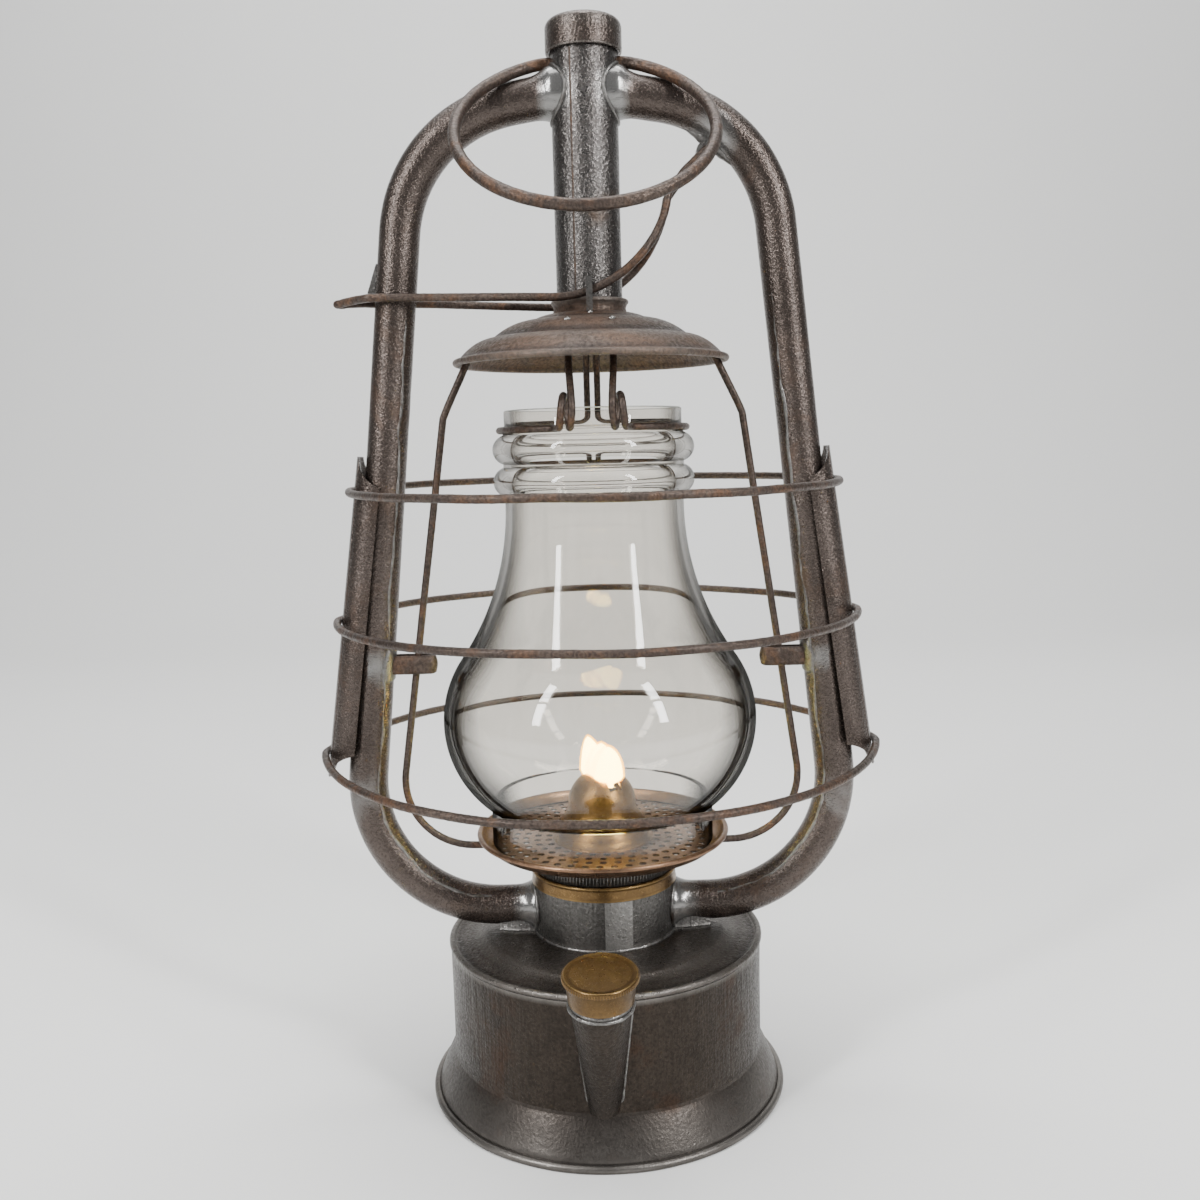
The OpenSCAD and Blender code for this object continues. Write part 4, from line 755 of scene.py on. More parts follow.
def makeFiller():
    place = fillerPlace()
    rim = filler["capRim"] - filler["knurlRidge"]
    # painted shade: the cap's lines below 0 darken its side under the knurled rim, the band's foot and the
    # dip inside its top edge
    edge = ((rim, 9.15, -0.3), (rim, 10.55, -0.1), (rim - 0.35, 10.92, 0.4))
    profile = eased(filler["capInside"] + edge + filler["capTop"], 0.3, closed=False)
    body = lathe("filler_cap_body", profile, closed=False, place=place)
    body.data.materials.append(agedBrass)
    values = {"Count": filler["knurls"], "Radius": rim * mm, "Ridge": filler["knurlRidge"] * mm,
        "Height": filler["knurlTall"] * mm, "Material": agedBrass}
    knurls = growMesh("filler_cap_knurl", bpy.data.meshes.new("knurlStart"), knurlShape, values)
    inMetres = Matrix.Translation(Vector(filler["origin"]) * mm) @ place.to_3x3().to_4x4()
    knurls.data.transform(inMetres @ Matrix.Translation((0, 0, filler["knurlZ"] * mm)))
    cap = joined("filler_cap_brass", [body, knurls])
    cap.data.set_sharp_from_angle(angle=radians(38))
    settle(cap, "filler_cap", ["filler_cap"])
    dressNode("cap_seal", "cap_seal", sealCork)
    dressNode("filler_neck", "frame", dullTin)
    dressNode("filler_spout", "frame", tankSteel)


# the spout's distance from the middle and its radius at a height, and the tank wall's front
def spoutAt(z):
    lowY, lowZ, lowR = filler["spoutLow"]
    topY, topZ, topR = filler["spoutTop"]
    t = (z - lowZ) / (topZ - lowZ)
    return lowY + (topY - lowY) * t, lowR + (topR - lowR) * t


def wallAt(x):
    return -sqrt(tank["radius"] ** 2 - x * x)


# the solder on the wall round the spout's foot, and the bead under the neck
def spoutSeams():
    low, top, steps = filler["seamLow"], filler["seamTop"], 36
    right = []
    for i in range(steps + 1):
        z = top + (low - top) * i / steps
        right.append((spoutAt(z)[1] * filler["seamOut"] + filler["seamGap"], z))
    toe = right[-1][0]
    turns = [pi * i / 12 for i in range(1, 12)]
    bend = [(toe * cos(a), low - filler["seamToe"] * sin(a)) for a in turns]
    path = [spoutTurn @ Vector((x, wallAt(x), z)) for x, z in right + bend + mirrored(right)[::-1]]
    place = fillerPlace()
    loop = [place @ p for p in circle(*filler["neckRing"], 72)]
    return [solderBead("spout_seam", path, dullTin, *filler["seam"], closed=False),
        solderBead("neck_bead", loop, dullTin, *filler["neckBead"])]


# solder that fills the wedge between the wall and the back of the spout
def spoutWeb():
    rows, across, sink = 30, 8, filler["webSink"]
    low, top = filler["seamLow"], filler["webTop"]
    (lowY, lowZ), (topY, topZ) = filler["spoutLow"][:2], filler["spoutTop"][:2]
    tilt = atan2(topY - lowY, topZ - lowZ)
    rings = []
    for i in range(rows + 1):
        z = low + (top - low) * i / rows
        away, radius = spoutAt(z)
        cone, wall = [], []
        for k in range(across + 1):
            x = radius * filler["webHalf"] * (2 * k / across - 1)
            back = -away + sqrt(radius ** 2 - x * x) / cos(tilt) - sink
            cone.append((x, min(back, wallAt(x) - filler["webLeast"]), z))
            wall.append((x, wallAt(x) + sink, z))
        rings.append([spoutTurn @ Vector(p) for p in cone + wall[::-1]])
    piece = skinned("spout_web", [rings], 50)
    piece.data.materials.append(dullTin)
    return piece


makeFiller()
print("filler made")


# throat, its strap and the brass ring on its mouth
throat = {"radius": 26.2, "wall": 0.8, "low": 59.6, "top": 82.6, "rows": 8, "dents": 0.1, "ringLow": 78.3,
    "ringTop": 83.6, "ringEase": 0.25}


def makeThroat():
    r, low, top, rows = throat["radius"], throat["low"], throat["top"], throat["rows"]
    inner = r - throat["wall"]
    wall = [(inner, low), (r, low, 0.3)] + [(r, low + (top - low) * i / rows) for i in range(1, rows)]
    wall += [(r, top), (inner, top)]
    latheNode("throat", "throat_sheet", "frame", "aged_steel", throatSteel, wall, dents=throat["dents"])
    low, top = throat["ringLow"], throat["ringTop"]
    ring = [(r + 0.02, low), (r + 0.95, low, 0.25), (r + 0.7, low + 1.2), (r + 0.7, top - 1.4),
        (r + 1.0, top - 0.5, 0.3), (r + 0.6, top, 0.2), (r - 0.6, top), (r - 0.6, top - 0.9),
        (r + 0.02, top - 1.0)]
    latheNode("throat_ring", "mouth_ring_brass", "frame", "aged_brass", agedBrass,
        eased(ring, throat["ringEase"]))
    dressNode("throat_strap", "frame", strapTin)


makeThroat()
for nodeName in ("burner_body", "wick_tube"):
    dressNode(nodeName, "frame", agedBrass)
for nodeName in ("winder_shaft", "winder_wheels", "winder_knob"):
    dressNode(nodeName, "winder", agedBrass)
dressNode("wick", "wick", wickCotton)
dressNode("burner_dome", "globe_carriage", domeBrass)
print("throat and burner made")


# perforated globe plate with a lip round each hole, and soot with painted shade on the holes' walls
plate = {"floor": 94.1, "firstRow": 20.4, "rowPitch": 4.2, "rows": 5, "holePitch": 5.0, "holeRadius": 1.35,
    "lip": 0.1, "lipGap": 0.12, "lipSink": 0.05, "sootAndShadeIn": 2.0, "reach": 40.6, "upright": 0.3}


def makePlate():
    spots = []
    for row in range(plate["rows"]):
        r = plate["firstRow"] + row * plate["rowPitch"]
        count = floor(tau * r / plate["holePitch"])
        for i in range(count):
            a = tau * (i + row / 2) / count
            spots.append(Vector((r * cos(a), r * sin(a), plate["floor"] - plate["lipSink"])) * mm)
    start = bpy.data.meshes.new("holeSpots")
    start.from_pydata(spots, [], [])
    values = {"Hole Radius": (plate["holeRadius"] + plate["lipGap"]) * mm, "Lip": plate["lip"] * mm,
        "Material": agedCopper}
    rims = growMesh("plate_hole_rims", start, rimShape, values)
    shadeSmooth(rims.data)
    settle(rims, "globe_carriage")
    sheet = dressNode("globe_plate", "globe_carriage", agedCopper).data
    sheet.materials.append(sootAndShadeCopper)
    sootAndShadeFrom = plate["firstRow"] - plate["sootAndShadeIn"]
    # soot and painted shade: the holes' walls turn near black
    for face in sheet.polygons:
        out = face.center.xy.length / mm
        if abs(face.normal.z) < plate["upright"] and sootAndShadeFrom < out < plate["reach"]:
            face.material_index = 1
    dressNode("plate_sleeve", "globe_carriage", throatSteel)


makePlate()
print("plate made")


# glass globe: a collar, a round belly, a hollow arc up to the neck, two ribs and a ground top edge
globe = {"foot": 94.25, "collar": 41.0, "collarTall": 5.0, "glass": 2.4, "bellyX": 18.1, "bellyZ": 45.8,
    "bellyArc": 39.3, "neck": 32.2, "neckZ": 124.8, "ribs": (132.8, 144.2), "ribRadius": 5.4, "ribIn": 1.4,
    "height": 158.0, "lipTall": 6.0, "round": 0.4, "edgeIn": 0.5, "groundDeep": 0.45}


def globeSide(t):
    a = globe["neck"] - globe["bellyX"]
    b = globe["neckZ"] - globe["bellyZ"]
    arc = globe["bellyArc"]
    waist = (a * a + b * b - arc * arc) / (2 * (arc - a))
    turn = degrees(atan2(b, a + waist))
    low = -degrees(acos((globe["collar"] - t - globe["bellyX"]) / (arc - t)))
    side = arcPoints(globe["bellyX"], globe["bellyZ"], arc - t, low, turn, 40)
    return side + arcPoints(globe["neck"] + waist, globe["neckZ"], waist + t, 180 + turn, 180, 24)[1:]


def makeGlobe():
    t, collar, neck, high, ease = (globe[key] for key in ("glass", "collar", "neck", "height", "round"))
    tall, lip, edge = globe["collarTall"], high - globe["lipTall"], globe["edgeIn"]
    outer = [(collar, ease), (collar, tall)] + globeSide(0)
    for rib in globe["ribs"]:
        outer += arcPoints(neck - globe["ribIn"], rib, globe["ribRadius"], -72, 72, 16)
    outer += [(neck - ease, lip), (neck - ease, high - ease)]
    inner = [(collar - t, ease), (collar - t, tall)] + globeSide(t)
    inner += [(neck - t, lip), (neck - t, high - ease)]
    top = [(neck - ease - edge, high), (neck - t + edge, high)]
    foot = [(collar - t + edge, 0.0), (collar - edge, 0.0)]
    loop = [(r, z + globe["foot"]) for r, z in outer + top + inner[::-1] + foot]
    piece = latheNode("globe", "globe_glass", "globe_carriage", "clear_glass", clearGlass, loop, 160,
        sharp=50)
    piece.data.materials.append(groundGlassEdge)
    ground = (globe["foot"] + high - globe["groundDeep"]) * mm
    for face in piece.data.polygons:
        face.material_index = 1 if face.center.z > ground else 0


makeGlobe()
print("globe made")


# hood in three steps, with its rolled rim and collar; steps are radius and drop below the crown
hood = {"crown": 285.45, "steps": ((12.75, 0.0), (21.0, 2.3), (35.0, 8.3), (47.8, 16.4)), "sheet": 1.0,
    "power": 2.0, "rows": 9, "dents": 0.25, "bead": 1.2, "beadZ": 269.05, "collar": 12.75,
    "collarInside": 11.95, "collarLow": 287.3, "collarTop": 289.35, "collarBead": 0.9,
    "drops": ((0.2, -18.6, 1.5), (-0.3, 18.6, 1.5), (7.4, -28.0, 1.7), (-7.4, -28.0, 1.7), (2.0, 28.0, 1.5),
        (-2.0, 28.0, 1.5))}
hoodSteps = list(zip(hood["steps"], hood["steps"][1:]))


def hoodHeight(r):
    for (r0, d0), (r1, d1) in hoodSteps:
        if r <= r1:
            break
    return hood["crown"] - d0 - (d1 - d0) * limited((r - r0) / (r1 - r0)) ** hood["power"]


def makeHood():
    top, rows = [], hood["rows"]
    for (r0, d0), (r1, d1) in hoodSteps:
        for i in range(rows):
            r = r0 + (r1 - r0) * i / rows
            # worn bands along each step, and painted shade darkening each crease between the steps
            top.append((r, hoodHeight(r), 0.12 if 1 < i < 5 else (-0.6 if i in (0, rows - 1) else 0.0)))
    under = [(r, z - hood["sheet"]) for r, z, wearAndShade in top]
    bead = arcPoints(hood["steps"][-1][0], hood["beadZ"], hood["bead"], 95, -175, 16)
    loop = top + [(r, z, 0.12) for r, z in bead] + under[::-1]
    latheNode("hood", "hood_sheet", "globe_carriage", "rusty_steel", hoodRust, loop, 176, dents=hood["dents"])
    r, inner, crown = hood["collar"], hood["collarInside"], hood["crown"]
    bead = arcPoints(inner + hood["collarBead"], hood["collarTop"], hood["collarBead"], -60, 180, 12)
    loop = [(inner, crown - 1), (r + 0.9, crown - 0.25), (r + 0.2, crown + 0.8), (r, hood["collarLow"])]
    loop += [(x, z, 0.25) for x, z in bead]
    latheNode("hood_collar", "hood_collar_sheet", "globe_carriage", "rusty_steel", hoodRust, loop, 112)
    for nodeName in ("front_hook", "rear_hook"):
        dressNode(nodeName, "globe_carriage", dullTin)


# drops of solder on the hood, at the feet of the hooks and clips
def hoodDrops():
    drops = []
    for x, y, size in hood["drops"]:
        z = hoodHeight(hypot(x, y))
        half = size * 0.6
        points = [(x - half, y, z - 0.25), (x, y + 0.2, z - 0.1), (x + half, y - 0.1, z - 0.3)]
        drops.append(wire("hood_drop", points, half, solderGrey, sides=12, spacing=0.25,
            girth=[0.5, 1.0, 0.55]))
    return joined("hood_solder", drops)


makeHood()
settle(hoodDrops(), "globe_carriage")
print("hood made")


# globe clips: a leg, a ring half round the neck, a curl and a second leg
clip = {"radius": 1.3, "legX": 7.4, "legY": 28.0, "rearX": 2.0, "ring": 33.45, "level": 245.3, "curl": 5.2,
    "curlY": 39.05, "pitch": 3.6, "globeTop": 252.25}


def clipPath():
    ring, level, curl = clip["ring"], clip["level"], clip["curl"]
    legX, legY, rearX, curlY = clip["legX"], clip["legY"], clip["rearX"], clip["curlY"]
    top = hoodHeight(hypot(legX, legY) + clip["radius"]) - hood["sheet"] - 0.1
    curlX = legX + clip["pitch"]
    points = [(rearX, legY, top), (rearX, legY, top - 4), (rearX, ring - 0.8, clip["globeTop"] + 4),
        (rearX, ring, level + 5), (rearX + 0.4, ring, level + 2)]
    points += [(x, y, level) for x, y in arcPoints(0, 0, ring, 82, -62, 18)]
    points += [(curlX + 1.6, -ring * 0.95, level), (curlX + 0.3, -curlY + 2.5, level)]
    for i in range(31):
        a = radians(15 * i)
        points.append((curlX - clip["pitch"] * i / 24, -curlY - curl * sin(a), level + curl - curl * cos(a)))
    points += [(legX - 0.8, -curlY - curl + 0.6, level + curl + 4), (legX, -legY - 6, top - 13),
        (legX, -legY, top - 4), (legX, -legY, top)]
    return curved(points, 4)


# lift wires from the hood's rim down to the plate
lift = {"radius": 1.4, "topX": 44.0, "bow": (51.2, 255.39), "knee": (53.6, 250.05),
    "bendCentre": (48.02, 116.75), "bendRadius": 25.0, "lean": 8.4, "endX": 39.4, "sway": 0.35, "swayRun": 21}


def liftPath():
    topZ = hoodHeight(lift["topX"] + lift["radius"]) - hood["sheet"] - lift["radius"] / 2
    points = [(p.x, 0, p.y) for p in curved([(lift["topX"], topZ, 0), (*lift["bow"], 0), (*lift["knee"], 0)])]
    bend = [(x, 0, z) for x, z in arcPoints(*lift["bendCentre"], lift["bendRadius"], lift["lean"], -90, 24)]
    last, first, steps = Vector(points[-1]), Vector(bend[0]), 30
    for i in range(1, steps):
        sway = lift["sway"] * sin(pi * i / steps) * sin(tau * i / lift["swayRun"])
        spot = last.lerp(first, i / steps)
        points.append((spot.x, sway, spot.z))
    return points + bend + [(lift["endX"], 0, lift["bendCentre"][1] - lift["bendRadius"])]


def bothSides(points):
    return (("right", points), ("left", mirrored(points)))


def makeCarriageWires():
    for side, points in bothSides(clipPath()):
        wireNode("globe_clip_" + side, "globe_clip_wire_" + side, "globe_carriage", points, clip["radius"],
            spacing=0.6, rough=0.12)
    for side, points in bothSides(liftPath()):
        wireNode("lift_wire_" + side, "lift_wire_rod_" + side, "globe_carriage", points, lift["radius"],
            rough=0.14)


makeCarriageWires()
print("clips and lift wires made")


# lift lever, one wire that straddles the centre and the left tube
lever = {"radius": 1.5, "pivot": (41.4494, 339.646), "eye": 4.85, "bowRadius": 41.0, "bowX": 12.5,
    "low": 289.85, "bowStart": -8.0, "bowWide": -46.0, "spread": 15.8, "straddle": (68.72, 9.45),
    "noseX": 89.37, "noseZ": 291.85, "noseRadius": 1.675, "noseDrop": 0.9,
    "eyeOut": 0.6, "eyeBow": 0.3}

# air tubes, centre tube and cap; solder patches are a place and how far the solder fades from it
tube = {"radius": 7.25, "slope": 9.5, "lean": 6.0, "topCentre": (18.33, 310.06), "topBend": 48.0,
    "lowCentre": (39.25, 115.85), "lowBend": 47.5, "startX": 5.0, "startZ": 360.95, "endX": 23.5,
    "dents": 0.1, "seam": 0.5, "seamTurn": 43.0, "seamWobble": ((9, 0.06), (4, 0.21)),
    "seamLumps": (0.15, 2.0, 0.14), "seamFade": (0.05, 40), "seamTop": 306.0, "seamSink": 0.28, "flare": 0.34,
    "flareRun": 8.0, "flarePower": 2.6, "topBead": (0.7, 0.6, 1.4), "lowBead": (0.8, 0.6, 1.5),
    "baseBead": (0.9, 0.6, 1.5), "beadOut": 0.2}
patch = {"throat": (26, 13), "throatReach": 44, "throatTop": 80, "joint": (12, 7), "jointReach": 24,
    "jointLow": 345, "bend": (112, 26), "bendFrom": 82, "bendShare": 0.55, "guide": (161, 11), "guideTo": 84,
    "guideLow": 140, "guideShare": 0.7, "knuckle": (2, 4, 12), "knuckleMore": 0.1, "centreShare": 0.95}
centre = {"inner": 10.7, "outer": 11.6, "low": 279.45, "tall": 103.5, "rows": 52, "dents": 0.12,
    "joint": 359.85, "solderZ": 359.9, "seamTurn": -114.0, "seamAt": 11.45, "seamLow": 291.0,
    "seamStep": 1.6, "seam": (0.45, 0.7, 1.1),
    "cap": ((0, 383.1), (11.75, 383.1), (11.75, 373.1), (13.15, 373.1, 0.3), (13.3, 374.3), (13.28, 378.0)),
    "capBend": (10.3, 381.25, 2.98), "capTop": ((6.0, 384.25), (0, 384.28)), "capEase": 0.4}


def tubePath():
    lean = tube["lean"]
    arc = arcPoints(*tube["topCentre"], tube["topBend"], 90 - tube["slope"], lean, 40)
    upper = [(x, 0, z) for x, z in arc]
    lower = [(x, 0, z) for x, z in arcPoints(*tube["lowCentre"], tube["lowBend"], lean, -90, 50)]
    start = Vector((tube["startX"], 0, tube["startZ"]))
    points = [tuple(start.lerp(Vector(upper[0]), i / 12)) for i in range(12)] + upper
    points += [tuple(Vector(upper[-1]).lerp(Vector(lower[0]), i / 60)) for i in range(1, 60)] + lower
    lowX, lowZ = tube["lowCentre"]
    return points + [(lowX - (lowX - tube["endX"]) * i / 12, 0, lowZ - tube["lowBend"]) for i in range(1, 13)]


# the solder makes a tube wider towards both its joints
def tubeGirth(points):
    girth = []
    for x, y, z in points:
        off = abs(x) - (centre["outer"] if z > 300 else throat["radius"])
        girth.append(1 + tube["flare"] * limited(1 - off / tube["flareRun"]) ** tube["flarePower"])
    return girth


# grey solder left on the tubes: at the throat, the centre tube, the outer bends, the guides and the knuckle
def solderShare(spot):
    def near(value, name):
        return 1 - value / patch[name][-1]
    x, z = abs(spot.x), spot.z
    shares = [0.0]
    if z < patch["throatTop"] and x < patch["throatReach"]:
        shares.append(near(x - patch["throat"][0], "throat"))
    if z > patch["jointLow"] and x < patch["jointReach"]:
        shares.append(near(x - patch["joint"][0], "joint"))
    if x > patch["bendFrom"]:
        shares.append(patch["bendShare"] * near(abs(z - patch["bend"][0]), "bend"))
    if x < patch["guideTo"] and z > patch["guideLow"]:
        shares.append(patch["guideShare"] * near(abs(z - patch["guide"][0]), "guide"))
    offX, offZ = patch["knuckle"][:2]
    away = hypot(spot.x - lever["pivot"][0] - offX, spot.z - lever["pivot"][1] - offZ)
    return max(*shares, patch["knuckleMore"] + near(away, "knuckle"))


def centreSolder(spot):
    off = hypot(spot.y, spot.z - centre["solderZ"]) - tube["radius"]
    return max(0.0, patch["centreShare"] - off / patch["joint"][1])


def makeTubes():
    for side, points in bothSides(tubePath()):
        piece = wire(side + "_tube_pipe", points, tube["radius"], tubeSteel, sides=44, spacing=1.4,
            rough=tube["dents"], grain=0.12, girth=tubeGirth(points))
        paint(piece.data, "solder", [solderShare(v.co / mm) for v in piece.data.vertices])
        settle(piece, "frame", [side + "_tube"])
    inner, outer, low, tall, rows = (centre[key] for key in ("inner", "outer", "low", "tall", "rows"))
    wall = [(inner, low), (outer, low, 0.4)] + [(outer, low + tall * i / rows) for i in range(1, rows + 1)]
    wall.append((inner, low + tall))
    piece = lathe("centre_tube_pipe", wall, 96, dents=centre["dents"])
    paint(piece.data, "solder", [centreSolder(v.co / mm) for v in piece.data.vertices])
    settle(piece, "frame", ["centre_tube"], centreSteel)
    bend = tuple((x, z, 0.12) for x, z in arcPoints(*centre["capBend"], 0, 80, 7))
    cap = eased(centre["cap"] + bend + centre["capTop"], centre["capEase"], closed=False)
    latheNode("top_cap", "top_cap_sheet", "frame", "aged_steel", tubeSteel, cap, 96, closed=False)


# the lapped seam that runs down each tube, on its inner front
def tubeSeams():
    seams = []
    front = Vector((0, -1, 0))
    for side in (-1, 1):
        path = [Vector((side * x, 0, z)) for x, y, z in tubePath()]
        points = []
        for i in range(12, len(path) - 14):
            if path[i].z > tube["seamTop"]:
                continue
            inward = (path[i + 1] - path[i - 1]).normalized().cross(front) * side
            wobble = sum(size * noise.noise(path[i] * scale) for size, scale in tube["seamWobble"])
            a = radians(tube["seamTurn"] + wobble)
            out = front * cos(a) + inward * sin(a)
            points.append(path[i] + out * (tube["radius"] - tube["seamSink"]))
        line = curved(points, 3)
        thin, run = tube["seamFade"]
        girth = [g * min(1.0, thin + i / run) for i, g in enumerate(lumpy(line, *tube["seamLumps"]))]
        seams.append(wire("tube_seam", line, tube["seam"], dullTin, sides=8, spacing=0.8, girth=girth))
    return seams


# the upright lap of the centre tube, left of its front
def centreSeam():
    a = radians(centre["seamTurn"])
    x, y = centre["seamAt"] * cos(a), centre["seamAt"] * sin(a)
    points = [(x, y, centre["seamLow"] + centre["seamStep"] * i) for i in range(52)]
    return solderBead("centre_seam", points, wireRust, *centre["seam"], closed=False, sides=8, spacing=0.8)


# beads of solder where the tubes meet the centre tube and the throat
def tubeBeads():
    beads = []
    slope = radians(tube["slope"])
    r, outer, wide = tube["radius"] * (1 + tube["flare"]), centre["outer"], throat["radius"]
    low = tube["lowCentre"][1] - tube["lowBend"]
    for side in (-1, 1):
        topRing, lowRing = [], []
        for y, rise, flat in circle(r, 0, 72):
            x = sqrt(outer ** 2 - y * y)
            topRing.append((side * x, y, centre["joint"] - tan(slope) * (x - outer) + rise / cos(slope)))
            lowRing.append((side * (sqrt(wide ** 2 - y * y) + tube["beadOut"]), y, low + rise))
        beads.append(solderBead("top_bead", topRing, dullTin, *tube["topBead"], sides=12, spacing=0.8))
        beads.append(solderBead("low_bead", lowRing, dullTin, *tube["lowBead"], sides=12, spacing=0.8))
    base = circle(wide, tank["plateau"] + tube["beadOut"], 96)
    return beads + [solderBead("throat_bead", base, dullTin, *tube["baseBead"], spacing=0.9)]


makeTubes()
print("tubes made")


# saddles under the tubes beside the throat, a folded strip with a lip on the plateau
saddle = {"from": 25.6, "to": 39.5, "half": 6.4, "lip": 1.9, "lipThick": 0.9, "top": 66.0, "sink": 0.1,
    "rows": 12, "taper": 0.28, "drop": 1.2, "lipTaper": 0.4, "dents": 0.18}


def makeSaddles():
    skins = []
    low = tank["plateau"] - saddle["sink"]
    lip = low + saddle["lipThick"]
    for side in (-1, 1):
        rings = []
        for i in range(saddle["rows"] + 1):
            t = i / saddle["rows"]
            x = saddle["from"] + (saddle["to"] - saddle["from"]) * t
            half = saddle["half"] * (1 - saddle["taper"] * t ** 2)
            wide = half + saddle["lip"] * (1 - saddle["lipTaper"] * t ** 3)
            ring = [(wide, low), (wide, lip - 0.25), (wide - 0.3, lip), (half + 0.5, lip), (half, lip + 0.7),
                (half * 0.97, saddle["top"] - saddle["drop"] * t ** 2)]
            ring += mirrored(ring)[::-1]
            dents = [saddle["dents"] * noise.noise(Vector((x, y, z)) * 0.4) for y, z in ring]
            rings.append([(side * x, y + dent, z) for (y, z), dent in zip(ring, dents)])
        skins.append(rings)
    settle(skinned("tube_saddles", skins, 45), "frame", material=throatSteel)


# wire guides: straps folded round the lift wires, on feet that are patches wrapped on the tubes
guide = {"wireX": 66.71, "front": 4.0, "half": 1.75, "strip": 1.1, "height": 7.0, "level": 161.25,
    "bulge": 0.7, "reach": 77.0, "dents": 0.22, "footStep": 1.05, "footTurn": 62, "footInTurn": 60,
    "footCut": 0.25, "footThick": 0.7, "footSink": 0.15, "footDeep": 0.9, "footDents": 0.1}


# the middle of the tube's straight stretch at a height
def tubeAt(z):
    lean = radians(tube["lean"])
    lowX, lowZ = tube["lowCentre"]
    return lowX + tube["lowBend"] * cos(lean) - tan(lean) * (z - lowZ - tube["lowBend"] * sin(lean))


def makeGuideFeet():
    skins = []
    across, rows = 16, 12
    for side in (-1, 1):
        rings = []
        for i in range(rows + 1):
            z = guide["level"] + (i - rows / 2) * guide["footStep"]
            cut = 1 - guide["footCut"] * abs(i - rows / 2) / (rows / 2)
            flat = []
            for k in range(across + 1):
                a = radians(180 + (2 * k / across - 1) * guide["footTurn"] * cut)
                thick = guide["footThick"] if 0 < k < across and 0 < i < rows else 0.0
                dent = guide["footDents"] * noise.noise(Vector((z, a * 4, side)) * 0.7)
                flat.append((a, tube["radius"] - guide["footSink"] + thick + dent))
            for k in range(across, -1, -1):
                a = radians(180 + (2 * k / across - 1) * guide["footInTurn"] * cut)
                flat.append((a, tube["radius"] - guide["footDeep"]))
            rings.append([(side * (tubeAt(z) + r * cos(a)), r * sin(a), z) for a, r in flat])
        skins.append(rings)
    settle(skinned("guide_feet", skins, 50), "frame", material=dullTin)


def makeGuides():
    nose, reach, half = guide["wireX"] - guide["front"], guide["reach"], guide["half"]
    spine = [(reach + (nose - reach) * i / 10, 270) for i in range(10)]
    spine += [(nose, 270 - 180 * i / 18) for i in range(19)]
    spine += [(nose + (reach - nose) * i / 10, 90) for i in range(1, 11)]
    rows = [(s, half + guide["strip"] * (0.45 if abs(s) == 1 else 1) + guide["bulge"] * (1 - s * s))
        for s in (-1, -0.88, -0.6, -0.3, 0, 0.3, 0.6, 0.88, 1)]
    rows += [(0.96, half), (-0.96, half)]
    for side, label in ((1, "right"), (-1, "left")):
        rings = []
        for x, angle in spine:
            a = radians(angle)
            ring = []
            for s, off in rows:
                r = off + guide["dents"] * noise.noise(Vector((x, angle * 0.03, s * 3)) * 0.5)
                ring.append((side * (x + r * cos(a)), r * sin(a), guide["height"] / 2 * s + guide["level"]))
            rings.append(ring)
        strap = skinned(label + "_guide_strap", [rings], 60)
        settle(strap, "frame", [label + "_wire_guide"], wireRust)


# the lump of solder that holds the knuckle, thickest in its middle
knuckle = {"radius": 2.7, "angles": (36, 68), "sink": 0.9, "least": 0.25, "lumps": 0.15, "lumpRun": 0.4,
    "steps": 24}


def knuckleSolder():
    steps, least = knuckle["steps"], knuckle["least"]
    reach = tube["topBend"] - tube["radius"] + knuckle["sink"]
    arc = arcPoints(*tube["topCentre"], reach, *knuckle["angles"], steps)
    girth = []
    for i in range(steps + 1):
        lump = knuckle["lumps"] * noise.noise(Vector((i * knuckle["lumpRun"], 0, 7)))
        girth.append(least + (1 - least) * sin(pi * i / steps) + lump)
    return wire("knuckle_solder", [(x, 0, z) for x, z in arc], knuckle["radius"], dullTin, spacing=0.6,
        girth=girth)


makeSaddles()
makeGuideFeet()
makeGuides()
solderParts = tubeSeams() + tubeBeads() + spoutSeams() + [spoutWeb(), knuckleSolder()]
settle(joined("frame_solder", solderParts), "frame")
settle(centreSeam(), "frame")
dressNode("lever_knuckle", "frame", solderGrey)
dressNode("lever_catch", "frame", dullTin)
for nodeName in ("left_guard_plate", "right_guard_plate"):
    dressNode(nodeName, "frame", tubeSteel)
print("joints and guards made")


# guard hoops: ovals of four arcs, a little bent out of true; levels are height, depth and tilt
hoops = {"radius": 1.5, "endRadius": 10.0, "leanTan": tan(radians(8.1)), "plateX": 85.0, "plateTop": 236.25,
    "outside": 1.667, "sway": 0.5, "swayIn": 0.006, "swayScale": 0.035,
    "levels": {"top": (225.05, 78.0, 0.7), "middle": (177.85, 83.0, 0.0), "bottom": (128.65, 84.0, 2.2)}}


def hoopPath(level, depth, tilt):
    half = hoops["plateX"] + (hoops["plateTop"] - level) * hoops["leanTan"] + hoops["outside"]
    endX = half - hoops["endRadius"]
    short = depth - hoops["endRadius"]
    shift = (endX * endX - short * short) / (2 * short)
    turn = degrees(atan2(shift, endX))
    front = arcPoints(0, -shift, depth + shift, turn, 180 - turn, 160)
    left = arcPoints(-endX, 0, hoops["endRadius"], 180 - turn, 180 + turn, 24)
    loop = front + left[1:] + [(-x, -y) for x, y in front[1:] + left[1:-1]]
    points = []
    for x, y in loop:
        share = (abs(y) / depth) ** 2
        sway = noise.noise(Vector((x, y, level)) * hoops["swayScale"])
        inward = 1 - share * hoops["swayIn"] * abs(sway)
        spot = Matrix.Rotation(radians(tilt), 3, "X") @ Vector((x, y * inward, 0))
        points.append(spot + Vector((0, 0, level + share * hoops["sway"] * sway)))
    return points


def makeHoops():
    for name, (level, depth, tilt) in hoops["levels"].items():
        wireNode("guard_hoop_" + name, "guard_hoop_wire_" + name, "frame", hoopPath(level, depth, tilt),
            hoops["radius"], closed=True, spacing=0.9, rough=0.16)


makeHoops()
print("hoops made")


# the lever's width over its run is eased
def ease(t):
    c = limited(t)
    return c * c * (3 - 2 * c)


